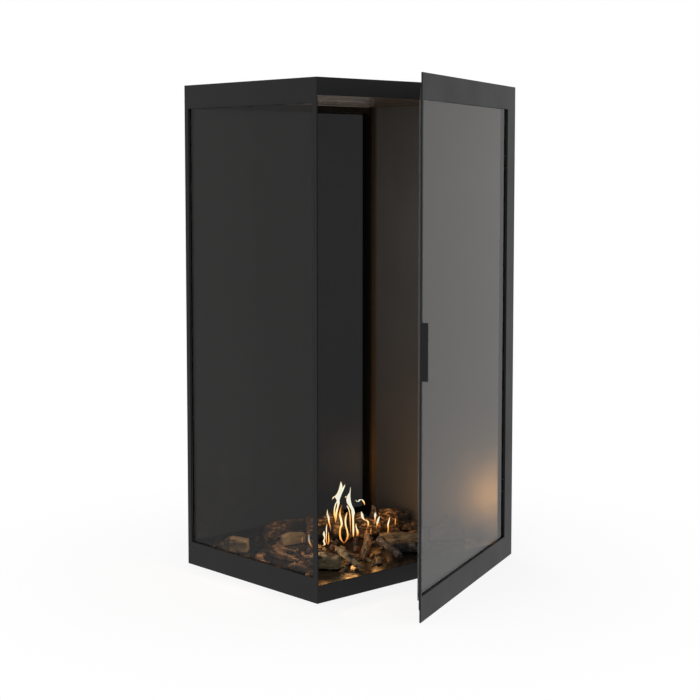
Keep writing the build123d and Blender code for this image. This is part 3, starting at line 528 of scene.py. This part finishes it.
class FIRE_OT_panes(bpy.types.Operator):
    """Finish the three panes, their gaskets and rests"""

    bl_idname = "fireplace.panes"
    bl_label = "Panes"

    def execute(self, context):
        chosen = context.scene.fireplace_glass
        smoke = chosen.smoke_color
        warm = (0.9, 0.88, 0.86)
        door_way = (math.sin(DOOR_TURN), -math.cos(DOOR_TURN), 0.0)
        for pane, ior, shares, tint, way in (
            ("left", 1.45, (chosen.left_share, 0.35), warm, (-1.0, 0.0, 0.0)),
            ("back", 1.26, (chosen.back_share, 0.89), (1.0, 1.0, 1.0), (0.0, 1.0, 0.0)),
            ("door", 2.0, (chosen.door_share, 0.42), warm, door_way),
        ):
            dress(smoked_glass(f"{pane}_pane", smoke, ior, *shares, tint, way), f"{pane}_glass")
        dress(woven_tape("gasket_tape", (0.03, 0.03, 0.032)), "left_gasket", "back_gasket", "door_gasket")
        dress(kiln_ceramic("rest_ceramic", (0.7, 0.68, 0.63)), "glass_rests")
        return {"FINISHED"}


class FIRE_OT_fittings(bpy.types.Operator):
    """Finish the clips, screws, pins, washers, strikes and magnets"""

    bl_idname = "fireplace.fittings"
    bl_label = "Fittings"

    def execute(self, context):
        zinc = brushed_steel("zinc_plate", (0.42, 0.42, 0.43), 0.36)
        dress(zinc, "door_strikes", "upper_hinge_pin", "lower_hinge_pin", "hinge_screws")
        coating = satin_paint("clip_coating", (0.006, 0.006, 0.006), 0.5, 0.1)
        dress(coating, "left_glass_clips", "back_glass_clips", "door_glass_clips")
        dress(brushed_steel("black_screw", (0.06, 0.06, 0.06), 0.4), "back_frame_screws")
        dress(brushed_steel("brass_washer", (0.6, 0.45, 0.2), 0.3), "hinge_washers")
        dress(satin_paint("magnet_coating", (0.006, 0.006, 0.006), 0.5, 0.2), "catch_magnets")
        return {"FINISHED"}


class FIRE_OT_gas(bpy.types.Operator):
    """Finish the gas union, pipe, injector and pilot group"""

    bl_idname = "fireplace.gas"
    bl_label = "Gas line and pilot"

    def execute(self, context):
        brass = brushed_steel("gas_brass", (0.62, 0.46, 0.2), 0.28)
        dress(brass, "gas_inlet_union", "gas_injector")
        dress(brushed_steel("gas_pipe_steel", (0.45, 0.44, 0.42), 0.32, (30.0, 30.0, 1.0)), "gas_pipe")
        toned = brushed_steel("pilot_steel", (0.36, 0.33, 0.3), 0.34, heat=(0.2, 0.12, 0.16))
        dress(toned, "pilot_bracket", "pilot_burner", "flame_sensor")
        dress(kiln_ceramic("electrode_ceramic", (0.75, 0.73, 0.68)), "spark_electrode")
        return {"FINISHED"}


# Fire bed

WELD = 1e-6
REST_GAP = 0.0002
BROKEN_FROM = 0.8
BROKEN_DEPTH = 0.006


def lumps_of(mesh):
    """Closed lumps of a CAD mesh, each as its points and faces."""
    whole = bmesh.new()
    whole.from_mesh(mesh)
    bmesh.ops.remove_doubles(whole, verts=whole.verts, dist=WELD)
    whole.verts.ensure_lookup_table()
    seen = [False] * len(whole.verts)
    lumps = []
    for start in whole.verts:
        if seen[start.index]:
            continue
        seen[start.index] = True
        found, members = [start], []
        while found:
            vert = found.pop()
            members.append(vert)
            for edge in vert.link_edges:
                other = edge.other_vert(vert)
                if not seen[other.index]:
                    seen[other.index] = True
                    found.append(other)
        members.sort(key=lambda vert: vert.index)
        number = {vert.index: count for count, vert in enumerate(members)}
        faces = [face for face in whole.faces if face.verts[0].index in number]
        lumps.append(
            ([vert.co.copy() for vert in members], [[number[v.index] for v in face.verts] for face in faces])
        )
    whole.free()
    return lumps


def remeshed(points, faces, voxel):
    """Even, dense mesh over a closed lump."""
    rough = bpy.data.meshes.new("rough_lump")
    rough.from_pydata(points, [], faces)
    holder = bpy.data.objects.new("rough_lump", rough)
    bpy.context.scene.collection.objects.link(holder)
    remesh = holder.modifiers.new("even", "REMESH")
    remesh.mode = "VOXEL"
    remesh.voxel_size = voxel
    even = bpy.data.meshes.new_from_object(holder.evaluated_get(bpy.context.evaluated_depsgraph_get()))
    bpy.data.objects.remove(holder)
    bpy.data.meshes.remove(rough)
    return even


def tube(rings):
    """Points and faces of a closed body through rings of points."""
    points = [point for ring in rings for point in ring]
    count = len(rings[0])
    faces = [tuple(reversed(range(count))), tuple(range(len(points) - count, len(points)))]
    for level in range(len(rings) - 1):
        for step in range(count):
            low, after = level * count, (step + 1) % count
            faces.append((low + step, low + after, low + count + after, low + count + step))
    return points, faces


def long_frame(points):
    """Centre of a lump and its axes, the longest first."""
    centre = sum(points, Vector()) / len(points)
    along = max(points, key=lambda point: (point - centre).length) - centre
    for _ in range(12):
        along = sum(((point - centre) * (point - centre).dot(along) for point in points), Vector()).normalized()
    up = Vector((0, 0, 1)) if abs(along.z) < 0.8 else Vector((1, 0, 0))
    across = up.cross(along).normalized()
    return centre, along, across, along.cross(across)


def ridged(place):
    return 1.0 - 2.0 * abs(noise.noise(place))


def bark_relief(place, end):
    furrows = ridged(Vector((place.x * 13, place.y * 62, place.z * 62)))
    plates = noise.noise(Vector((place.x * 38, place.y * 52, place.z * 52)))
    knots = max(0.0, noise.noise(place * 34) - 0.12)
    crumbs = noise.noise(place * 190)
    return (0.0028 * furrows + 0.0046 * plates + 0.016 * knots) * (1 - 0.6 * end) + 0.0011 * crumbs - 0.0024


def split_relief(place, end):
    fibres = noise.noise(Vector((place.x * 9, place.y * 120, place.z * 120)))
    steps = noise.noise(Vector((place.x * 5, place.y * 30, place.z * 30)))
    terrace = math.floor(steps * 4) / 4
    return 0.0016 * fibres + 0.0032 * terrace * (1 - end) - 0.0008


def char_relief(place, end):
    near, far = noise.voronoi(Vector((place.x * 60, place.y * 95, place.z * 95)))[0][:2]
    cracks = min(1.0, (far - near) / 0.22)
    return 0.0020 * (cracks - 1.0) + 0.0011 * noise.noise(place * 150)


def chip_relief(place, end):
    fibres = noise.noise(Vector((place.x * 14, place.y * 150, place.z * 150)))
    return 0.0010 * fibres + 0.0016 * noise.noise(place * 55) - 0.0005


RELIEF_SPAN = 0.009
RELIEFS = {
    "bark": bark_relief, "split": split_relief, "plank": split_relief, "char": char_relief, "chip": chip_relief,
}


def carved_lump(points, faces, voxel, relief, rng):
    """Dense mesh of one lump with its relief carved in: points, faces, grain places and how far each stands out."""
    even = remeshed(points, faces, voxel)
    centre, along, across, third = long_frame(points)
    reach = max(abs((point - centre).dot(along)) for point in points)
    offset = Vector((rng.uniform(0, 9), rng.uniform(0, 9), rng.uniform(0, 9)))
    moved, grain, raised = [], [], []
    for vert in even.vertices:
        arm = vert.co - centre
        place = Vector((arm.dot(along), arm.dot(across), arm.dot(third)))
        end = max(0.0, abs(vert.normal.dot(along)) * 2 - 1)
        depth = RELIEFS[relief](place + offset, end)
        share = abs(place.x) / reach
        rough = 0.5 + 0.5 * noise.noise(Vector((0, place.y * 150, place.z * 150)) + offset)
        broken = max(0.0, (share - BROKEN_FROM) / 0.2) * rough
        point = vert.co + vert.normal * depth - along * math.copysign(BROKEN_DEPTH * broken, place.x)
        point.z = max(point.z, HEARTH_TOP + REST_GAP)
        moved.append(point)
        grain.append(place + offset)
        raised.append(0.5 + depth / RELIEF_SPAN)
    polygons = [tuple(polygon.vertices) for polygon in even.polygons]
    bpy.data.meshes.remove(even)
    return moved, polygons, grain, raised


def carved_lumps(name, voxel, relief, rng):
    """Dense, carved lumps of one CAD node."""
    return [carved_lump(points, faces, voxel, relief, rng) for points, faces in lumps_of(NODES[name].data)]


def piece_from(name, lumps, finish, body):
    """One object from several lumps, with the grain places kept on its points."""
    points, faces, grain, raised = [], [], [], []
    for lump_points, lump_faces, lump_grain, lump_raised in lumps:
        faces += [tuple(index + len(points) for index in face) for face in lump_faces]
        points += lump_points
        grain += lump_grain
        raised += lump_raised
    mesh = bpy.data.meshes.new(name)
    mesh.from_pydata(points, [], faces)
    kept = mesh.attributes.new("grain", "FLOAT_VECTOR", "POINT")
    kept.data.foreach_set("vector", [channel for place in grain for channel in place])
    mesh.attributes.new("raised", "FLOAT", "POINT").data.foreach_set("value", raised)
    mesh.polygons.foreach_set("use_smooth", [True] * len(mesh.polygons))
    mesh.materials.append(finish.material)
    mesh.update()
    piece = bpy.data.objects.new(name, mesh)
    bpy.context.scene.collection.objects.link(piece)
    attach(piece, body)
    return piece


# Each wood: its pale and deep browns, the patches that are charred, and how much of its pale brown is in flecks
WOODS = {
    "bark": ((0.3, 0.18, 0.085), (0.01, 0.007, 0.005), (0.47, 0.55), 0.75),
    "split_wood": ((0.33, 0.24, 0.14), (0.035, 0.024, 0.013), (0.53, 0.61), 0.3),
    "plank_wood": ((0.3, 0.25, 0.16), (0.05, 0.038, 0.022), (0.58, 0.66), 0.2),
    "charred_wood": ((0.15, 0.13, 0.12), (0.01, 0.01, 0.012), (0.46, 0.56), 0.4),
    "chip_wood": ((0.28, 0.18, 0.1), (0.03, 0.019, 0.012), (0.5, 0.59), 0.4),
}
KIND_WOODS = {"bark": "bark", "split": "split_wood", "plank": "plank_wood", "char": "charred_wood"}
LOG_KINDS = {
    "log_back_bark": "bark", "log_left_back": "bark", "log_right_back": "bark", "log_front_dark": "char",
    "log_left_small": "plank", "log_left_block": "plank", "log_right_split": "split", "log_right_front": "split",
    "log_plank": "plank", "log_front_block": "plank", "log_charred": "char",
}


class FIRE_OT_logs(bpy.types.Operator):
    """Carve bark, split faces and char into the logs"""

    bl_idname = "fireplace.logs"
    bl_label = "Logs"

    def execute(self, context):
        chosen = context.scene.fireplace_fire
        rng = random.Random(chosen.seed)
        finishes = {kind: burnt_wood(wood, *WOODS[wood]) for kind, wood in KIND_WOODS.items()}
        for name, kind in LOG_KINDS.items():
            lumps = carved_lumps(name, chosen.voxel, kind, rng)
            log = piece_from(f"carved_{name}", lumps, finishes[kind], CASE)
            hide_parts(name)
        return {"FINISHED"}


CHIP_FINENESS = 0.7
SPLINTER_SIZES = ((0.01, 0.034), (0.004, 0.012), (0.003, 0.008))
SPLINTER_FIELD = ((-0.26, 0.24), (-0.18, 0.19))
SPLINTER_SWELLS = ((0.0, 0.35), (0.25, 0.9), (0.7, 1.0), (1.0, 0.3))
SPLINTER_SECTION = ((-0.5, 0.0), (0.5, 0.0), (0.35, 0.8), (-0.1, 1.0), (-0.45, 0.5))
SPLINTER_GAP = 0.0003


class FIRE_OT_chips(bpy.types.Operator):
    """Carve the chips and embers and strew splinters between them"""

    bl_idname = "fireplace.chips"
    bl_label = "Chips, embers and splinters"

    def execute(self, context):
        chosen = context.scene.fireplace_fire
        rng = random.Random(chosen.seed + 1)
        wood = burnt_wood("chip_wood", *WOODS["chip_wood"])
        coal = ember_coal("ember_coal", chosen.ember_strength)
        for name, kind, finish, slot in (
            ("wood_chips", "chip", wood, "split_wood"), ("embers", "char", coal, "ember"),
        ):
            lumps = carved_lumps(name, chosen.voxel * CHIP_FINENESS, kind, rng)
            piece = piece_from(f"carved_{name}", lumps, finish, CASE)
            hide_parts(name)
        strewn = piece_from("splinters", [self.splinter(rng) for _ in range(chosen.splinters)], wood, CASE)
        strewn.data.polygons.foreach_set("use_smooth", [False] * len(strewn.data.polygons))
        return {"FINISHED"}

    def splinter(self, rng):
        """A wedge of wood with uneven ends that lies on the floor."""
        length, width, height = (rng.uniform(*span) for span in SPLINTER_SIZES)
        turn = Matrix.Rotation(rng.uniform(0, math.tau), 3, "Z")
        spot = Vector((*(rng.uniform(*span) for span in SPLINTER_FIELD), HEARTH_TOP + SPLINTER_GAP))
        rings = []
        for share, swell in SPLINTER_SWELLS:
            ring = []
            for side, rise in SPLINTER_SECTION:
                jitter = rng.uniform(0.8, 1.15)
                local = Vector((
                    (share - 0.5) * length * rng.uniform(0.92, 1.08),
                    side * width * swell * jitter,
                    rise * height * swell * jitter,
                ))
                ring.append(turn @ local + spot)
            rings.append(ring)
        points, faces = tube(rings)
        grain = [turn.inverted() @ (point - spot) + spot for point in points]
        return points, faces, grain, [rng.uniform(0.3, 0.8) for _ in points]


# Flames

# Each flame: its place on the floor, then its strands. Each knot of a strand: how far along the flame's face, height
# above the base of the case and half width, in millimetres, then its heat from 0 to 1
FLAMES = (
    ((-30, -13), (
        ((-9.2, 189, 0.4, 0.9), (-8.8, 181, 3.2, 1), (-9.6, 173, 4.8, 1), (-11.6, 164, 6.4, 1), (-16, 154, 7.6, 1),
         (-15.7, 146, 4, 1), (-15, 138, 3.1, 0.97), (-16.3, 130, 2.2, 0.92), (-19, 118, 2.4, 0.86),
         (-21, 105, 2.4, 0.72), (-21.8, 92, 0.7, 0.4)),
        ((0.2, 181, 0.4, 0.9), (-2.6, 175, 2.2, 1), (-5.5, 169, 3, 1), (-8.8, 162, 3, 1)),
        ((-28.4, 148, 0.6, 0.8), (-25.9, 152.4, 2.2, 0.95), (-21.4, 155.4, 3, 1), (-16.3, 158.5, 3, 1)),
        ((-16.3, 144, 1.6, 1), (-21.4, 135, 1.6, 0.95), (-23.9, 124, 1.8, 0.85), (-23.9, 111.5, 2, 0.75),
         (-21.6, 102, 1.6, 0.6)),
        ((12.9, 175, 0.4, 0.9), (11.7, 164.6, 1.3, 1), (9, 156.4, 4, 1), (8.2, 148.3, 5.8, 1), (9.6, 140, 5.6, 1),
         (13.3, 132, 4.6, 1), (17.4, 124, 4.1, 1), (19, 115.6, 4.4, 0.96), (18.6, 107.5, 2.8, 0.92),
         (19, 91, 2.2, 0.9), (19.4, 73, 2.2, 0.85), (19.4, 60, 0.9, 0.7)),
        ((0.6, 151.3, 0.5, 0.85), (3.1, 154.4, 2, 0.95), (7.2, 154.4, 2.6, 1)),
        ((5.1, 132, 1.6, 0.95), (8.8, 124, 1.3, 0.85), (11.2, 111.5, 1.1, 0.8), (12.5, 91, 1.2, 0.6),
         (13.3, 71, 0.6, 0.4)),
        ((24.5, 144.6, 0.6, 0.9), (29.6, 141, 2, 1), (35.7, 146.2, 2.7, 1), (40.8, 144.2, 2.4, 0.95),
         (44.3, 138, 1.6, 0.7), (45.5, 132.8, 0.4, 0.5)),
        ((-7.1, 133, 0.8, 0.3), (-10.8, 121.7, 1.6, 0.5), (-11.6, 111.5, 2.4, 0.8), (-8.8, 99.3, 2.7, 0.88),
         (-7.5, 89, 2.4, 0.82), (-10.8, 79, 2, 0.72), (-11.6, 66.6, 2, 0.64), (-9.2, 54.4, 2.2, 0.58),
         (-2.6, 44.6, 1, 0.35)),
        ((5.1, 117.7, 0.5, 0.7), (2.3, 107.5, 1.8, 0.82), (1, 97.2, 2, 0.87), (2.3, 85, 1.9, 0.82),
         (5.5, 72.8, 2, 0.76), (6.3, 60.5, 2, 0.66), (3.1, 50.3, 1.6, 0.5), (-2.2, 44.2, 0.9, 0.35)),
    )),
    ((-61, 14), (
        ((0.9, 124, 0.4, 0.8), (0.9, 113.8, 1.7, 1), (3.4, 105.6, 2.4, 0.96), (4.4, 95.4, 1.7, 0.75),
         (7, 85.2, 1.6, 0.5), (8.7, 73, 0.5, 0.25)),
        ((-0.3, 89.3, 0.4, 0.8), (-1.5, 79, 1.4, 0.95), (-1.5, 67, 1.1, 0.85), (-1.9, 54.6, 1.2, 0.65),
         (-0.7, 46, 1.2, 0.5), (1.7, 42, 0.6, 0.4)),
        ((3, 71, 0.5, 0.6), (3.8, 58.7, 1.1, 0.7), (3.8, 48, 1.1, 0.6), (1.7, 42, 0.6, 0.4)),
        ((-6.8, 72, 0.5, 0.95), (-7.2, 65, 2.7, 1), (-5.6, 57, 1.4, 0.92), (-7.6, 49, 2, 0.96),
         (-5.2, 42.5, 2.2, 0.9), (-9.3, 39, 1.2, 0.6), (-15.4, 37.2, 0.9, 0.35)),
        ((-21.9, 62, 0.6, 0.9), (-21.5, 53, 1.1, 0.75), (-22.3, 45, 1.1, 0.65), (-20.3, 40, 1.3, 0.7),
         (-15.4, 37.2, 0.8, 0.35)),
    )),
    ((-108, 20), (
        ((-2, 73, 0.5, 0.9), (-2.4, 64.3, 2, 1), (-1.2, 55.2, 2.2, 0.85), (2.4, 47, 1.6, 0.6), (6.9, 40.2, 0.4, 0.3)),
        ((-17.4, 67.3, 0.4, 0.4), (-17.8, 59.2, 1.2, 0.55), (-17.4, 51, 0.5, 0.3)),
    )),
    ((20, -5), (
        ((6.2, 110, 0.6, 0.9), (8.2, 103.6, 3, 1), (9.5, 96.4, 3.1, 0.96), (13.6, 91, 1.8, 0.8),
         (21.4, 87, 2.1, 0.85), (22.7, 77.8, 1.7, 0.65), (20.6, 69.5, 0.4, 0.3)),
    )),
    ((0, -20), (
        ((-1.7, 87.6, 0.5, 0.7), (-0.9, 79.4, 1.5, 0.95), (1.8, 69.2, 2, 0.85), (0.8, 57.9, 0.8, 0.45)),
        ((3.8, 73.3, 0.4, 0.5), (4.5, 65, 1, 0.55), (3.8, 57.9, 0.4, 0.3)),
    )),
    ((51, -13), (
        ((10.9, 103.5, 0.7, 0.9), (10.9, 97.6, 3, 1), (10.4, 91.1, 1.6, 0.8), (10.2, 78.5, 0.6, 0.4)),
        ((20.8, 96.2, 0.5, 0.9), (18.3, 90, 2.4, 1), (16.2, 82.7, 2.6, 0.97), (14.6, 74.4, 0.8, 0.6),
         (14, 66, 0.4, 0.3)),
    )),
    ((65, -63), (
        ((-0.1, 100.2, 0.5, 0.8), (-2.1, 91, 1.7, 0.95), (-4.2, 82.7, 1.9, 0.85), (-3.8, 72.5, 1.4, 0.6),
         (-4.6, 60, 1.2, 0.45), (-4.2, 43.7, 0.8, 0.3)),
    )),
    ((150, 90), (((59, 58.2, 0.4, 0.5), (58.7, 47.4, 1.2, 0.6), (58.3, 38, 0.4, 0.3)),)),
    ((40, -40), (
        ((-9.3, 74.5, 0.4, 0.5), (-10, 66.3, 0.9, 0.55), (-9.7, 58, 0.4, 0.3)),
        ((-19.1, 74.5, 0.4, 0.3), (-20, 64.2, 0.9, 0.4), (-20.8, 53.9, 0.4, 0.2)),
    )),
)
FLAME_FACE = math.radians(-42.4)
STRAND_STEPS = 6
RING_STEPS = 10
SLIMNESS = 0.88
FLATNESS = 0.45
LEAST_HALF = 0.25
TWIST = 0.35
MM = 0.001


def between(knots, step):
    """Smooth values through knots; step counts from knot to knot."""
    index = min(int(step), len(knots) - 2)
    t = step - index
    before, start = knots[max(index - 1, 0)], knots[index]
    end, after = knots[index + 1], knots[min(index + 2, len(knots) - 1)]
    return [
        0.5 * (2 * b + (c - a) * t + (2 * a - 5 * b + 4 * c - d) * t * t + (3 * b - a - 3 * c + d) * t ** 3)
        for a, b, c, d in zip(before, start, end, after)
    ]


def flame_strand(base, knots, rng):
    """Closed, flattened tongue that follows its knots; gives points, faces, heats and nearness to the rim."""
    face = Vector((math.cos(FLAME_FACE), math.sin(FLAME_FACE), 0))
    deep = Vector((0, 0, 1)).cross(face)
    sway, start = rng.uniform(0.002, 0.005), rng.uniform(0, math.tau)
    rings, heats, rims = [], [], []
    count = (len(knots) - 1) * STRAND_STEPS
    for step in range(count + 1):
        along, height, half, heat = between(knots, step / STRAND_STEPS)
        wave = sway * math.sin(start + height * 0.05)
        centre = Vector((base[0] * MM, base[1] * MM, height * MM)) + face * along * MM + deep * wave
        twist = TWIST * math.sin(start + height * 0.03)
        side = face * math.cos(twist) + deep * math.sin(twist)
        thin = deep * math.cos(twist) - face * math.sin(twist)
        half = max(half * SLIMNESS, LEAST_HALF) * MM
        ring = []
        for spoke in range(RING_STEPS):
            angle = math.tau * spoke / RING_STEPS
            ring.append(centre + side * half * math.cos(angle) + thin * half * FLATNESS * math.sin(angle))
        rings.append(ring)
        heats += [heat] * RING_STEPS
        rims += [abs(math.cos(math.tau * spoke / RING_STEPS)) for spoke in range(RING_STEPS)]
    return *tube(rings), heats, rims


ORANGE = (1.0, 0.5, 0.16)
PALE = (1.0, 0.72, 0.48)
FIRELIGHT_RADIUS = 0.015
# Each lamp in the flames: its name, place, share of the power and colour
FIRELIGHTS = (
    ("main", (-0.035, -0.03, 0.13), 0.6, ORANGE), ("left", (-0.09, 0.0, 0.085), 0.6, ORANGE),
    ("end", (-0.2, 0.03, 0.16), 11.0, PALE), ("right", (0.09, -0.03, 0.085), 0.7, ORANGE),
    ("far", (0.15, 0.05, 0.08), 0.5, ORANGE), ("front", (-0.04, -0.12, 0.075), 0.4, ORANGE),
    ("near", (-0.25, -0.02, 0.15), 8.0, PALE),
)
# Each glint on the steel: its name, place, share of the power and radius
FLOOR_GLINTS = (
    ("main", (-0.069, -0.078, 0.079), 0.18, 0.012), ("left", (-0.148, 0.008, 0.09), 0.16, 0.014),
    ("right", (-0.014, -0.104, 0.08), 0.02, 0.012), ("far", (0.067, -0.013, 0.07), 0.006, 0.01),
    ("corner", (-0.12, -0.045, 0.1), 0.03, 0.014),
)
WALL_GLINTS = (("wall", (0.045, -0.061, 0.109), 3.8, 0.055), ("low", (0.045, -0.008, 0.062), 2.1, 0.05))


class FIRE_OT_flames(bpy.types.Operator):
    """Raise the flames over the burner and give them their light"""

    bl_idname = "fireplace.flames"
    bl_label = "Flames"

    def execute(self, context):
        chosen = context.scene.fireplace_fire
        rng = random.Random(chosen.seed + 2)
        glow = flame_glow("flame", chosen.flame_strength)
        for number, (base, strands) in enumerate(FLAMES):
            mesh = bpy.data.meshes.new(f"flame_{number}")
            points, faces, heats, rims = [], [], [], []
            for knots in strands:
                more_points, more_faces, more_heats, more_rims = flame_strand(base, knots, rng)
                faces += [tuple(index + len(points) for index in face) for face in more_faces]
                points += more_points
                heats += more_heats
                rims += more_rims
            mesh.from_pydata(points, [], faces)
            mesh.attributes.new("warmth", "FLOAT", "POINT").data.foreach_set("value", heats)
            mesh.attributes.new("rim", "FLOAT", "POINT").data.foreach_set("value", rims)
            mesh.polygons.foreach_set("use_smooth", [True] * len(mesh.polygons))
            mesh.materials.append(glow.material)
            flame = bpy.data.objects.new(f"flame_{number}", mesh)
            context.scene.collection.objects.link(flame)
            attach(flame, CASE)
        floor = self.receivers("glinting_floor", "hearth_plate", "burner_plate")
        wall = self.receivers("glinting_wall", "column_liner")
        unlit = self.receivers("unlit", "column_liner", "hearth_plate", "left_glass", "back_glass", "door_glass")
        for left_out in unlit.collection_objects:
            left_out.light_linking.link_state = "EXCLUDE"
        for name, place, share, color in FIRELIGHTS:
            light = self.lamp(context, f"firelight_{name}", place, chosen.fire_power * share, FIRELIGHT_RADIUS, color)
            light.light_linking.receiver_collection = unlit
        for steel, glints in ((floor, FLOOR_GLINTS), (wall, WALL_GLINTS)):
            for name, place, share, radius in glints:
                light = self.lamp(context, f"glint_{name}", place, chosen.glint_power * share, radius, ORANGE)
                light.visible_glossy = True
                light.light_linking.receiver_collection = steel
        return {"FINISHED"}

    def receivers(self, name, *nodes):
        """Set of pieces for a lamp to light, or to leave out."""
        lit = bpy.data.collections.new(name)
        for node in nodes:
            lit.objects.link(NODES[node])
        return lit

    def lamp(self, context, name, place, power, radius, color):
        """Point light in the flames that no camera or pane shows as a ball."""
        lamp = bpy.data.lights.new(name, "POINT")
        lamp.energy = power
        lamp.color = color
        lamp.shadow_soft_size = radius
        holder = bpy.data.objects.new(name, lamp)
        holder.location = place
        holder.visible_camera = holder.visible_glossy = holder.visible_transmission = False
        context.scene.collection.objects.link(holder)
        return holder


# Stage

# The floor is plain white far off, keeps some shadow round the case, and has a painted shadow at the doorstep that
# shows only through glass
SHADOW_FADE = (0.4, 1.0)
SHADOW_WHITE = 0.84
DOORSTEP = (0.02, -0.27, 0.0)
DOORSTEP_FADE = (0.12, 0.3)
SHADED = (0.004, 0.004, 0.004)
AIM = Vector((0, 0, 0.5))
SENSOR = 36.0
SEEN_FROM, SEEN_TO = 0.1, 60.0


class FIRE_OT_stage(bpy.types.Operator):
    """Set the floor, room light, lamps and camera"""

    bl_idname = "fireplace.stage"
    bl_label = "Stage"

    def execute(self, context):
        chosen = context.scene.fireplace_stage
        self.floor(context, chosen)
        self.room(context, chosen)
        for name, place, size, power in (
            ("key", (-2.6, -2.4, 2.9), 2.2, chosen.key_power), ("fill", (2.8, -2.6, 2.0), 2.4, chosen.fill_power),
            ("rear", (0.8, 3.0, 2.4), 2.2, chosen.fill_power),
        ):
            self.softbox(context, name, Vector(place), size, power)
        self.camera(context, chosen)
        return {"FINISHED"}

    def floor(self, context, chosen):
        mesh = bpy.data.meshes.new("pale_floor")
        form = bmesh.new()
        bmesh.ops.create_circle(form, cap_ends=True, segments=96, radius=chosen.floor_radius)
        form.to_mesh(mesh)
        form.free()
        ground = bpy.data.objects.new("pale_floor", mesh)
        context.scene.collection.objects.link(ground)
        matt = Finish("floor_matt", Base_Color=tuple(chosen.floor_color), Roughness=0.9, Specular_IOR_Level=0.0)
        place = matt.node("ShaderNodeTexCoord", output="Object")
        white = matt.node("ShaderNodeEmission", inputs={"Color": (1.0, 1.0, 1.0), "Strength": 1.0})
        # Painted shadow: the floor at the doorstep is dark where it is seen through glass
        painted_shadow = matt.ray("Transparent Depth").over(0.5)
        painted_shadow = painted_shadow * matt.span(matt.measure("DISTANCE", place, DOORSTEP), *DOORSTEP_FADE, 1.0, 0.0)
        seen = matt.span(matt.measure("LENGTH", place), *SHADOW_FADE, SHADOW_WHITE, 1.0) * matt.ray("Is Camera Ray")
        share = (seen * (1.0 - painted_shadow) + matt.ray("Is Glossy Ray") + matt.ray("Is Transmission Ray")).clamped()
        matt.give("Base Color", matt.mix(painted_shadow, tuple(chosen.floor_color), SHADED))
        plain = Value(matt, matt.surface.outputs[0])
        mixed = matt.node("ShaderNodeMixShader", inputs={0: share, 1: plain, 2: white})
        matt.tree.links.new(mixed.socket, matt.end.inputs["Surface"])
        mesh.materials.append(matt.material)

    def room(self, context, chosen):
        world = bpy.data.worlds.new("studio")
        world.use_nodes = True
        context.scene.world = world
        graph = Graph(world.node_tree)
        seen = 0.0
        for ray in ("Is Glossy Ray", "Is Transmission Ray", "Is Camera Ray"):
            seen = graph.ray(ray) + seen
        level = seen.clamped() * (1.0 - chosen.ambient) + chosen.ambient
        sky = world.node_tree.nodes["Background"]
        graph.feed(sky.inputs["Color"], (1.0, 1.0, 1.0))
        graph.feed(sky.inputs["Strength"], level)

    def softbox(self, context, name, place, size, power):
        lamp = bpy.data.lights.new(f"softbox_{name}", "AREA")
        lamp.shape = "SQUARE"
        lamp.size = size
        lamp.energy = power
        holder = bpy.data.objects.new(f"softbox_{name}", lamp)
        holder.location = place
        holder.rotation_euler = (AIM - place).to_track_quat("-Z", "Y").to_euler()
        holder.visible_glossy = False
        context.scene.collection.objects.link(holder)

    def camera(self, context, chosen):
        lens = bpy.data.cameras.new("camera")
        lens.sensor_width = SENSOR
        lens.lens = chosen.lens
        lens.shift_y = chosen.shift
        lens.clip_start, lens.clip_end = SEEN_FROM, SEEN_TO
        holder = bpy.data.objects.new("camera", lens)
        holder.location = chosen.camera_place
        holder.rotation_euler = Euler((math.pi / 2 - chosen.camera_tilt, 0, -chosen.camera_turn))
        context.scene.collection.objects.link(holder)
        context.scene.camera = holder
        context.scene.view_settings.view_transform = "Standard"


class FIRE_PT_panel(bpy.types.Panel):
    """Steps and settings of the fireplace"""

    bl_idname = "FIRE_PT_panel"
    bl_label = "Fireplace"
    bl_space_type = "VIEW_3D"
    bl_region_type = "UI"
    bl_category = "Fireplace"

    def draw(self, context):
        for operator in OPERATORS:
            self.layout.operator(operator.bl_idname)
        for name, group in GROUPS.items():
            box = self.layout.box()
            for setting in group.__annotations__:
                box.prop(getattr(context.scene, name), setting)


OPERATORS = (
    FIRE_OT_stage, FIRE_OT_case, FIRE_OT_door, FIRE_OT_firebox, FIRE_OT_flue, FIRE_OT_panes, FIRE_OT_fittings,
    FIRE_OT_gas, FIRE_OT_logs, FIRE_OT_chips, FIRE_OT_flames,
)
GROUPS = {
    "fireplace_case": CaseSettings, "fireplace_glass": GlassSettings, "fireplace_fire": FireSettings,
    "fireplace_stage": StageSettings,
}


def register():
    for group in GROUPS.values():
        bpy.utils.register_class(group)
    for operator in OPERATORS:
        bpy.utils.register_class(operator)
    bpy.utils.register_class(FIRE_PT_panel)
    for name, group in GROUPS.items():
        setattr(bpy.types.Scene, name, PointerProperty(type=group))


def unregister():
    for name in GROUPS:
        delattr(bpy.types.Scene, name)
    bpy.utils.unregister_class(FIRE_PT_panel)
    for operator in reversed(OPERATORS):
        bpy.utils.unregister_class(operator)
    for group in reversed(GROUPS.values()):
        bpy.utils.unregister_class(group)


def main():
    register()
    for operator in OPERATORS:
        family, name = operator.bl_idname.split(".")
        getattr(getattr(bpy.ops, family), name)()


if __name__ == "__main__":
    main()
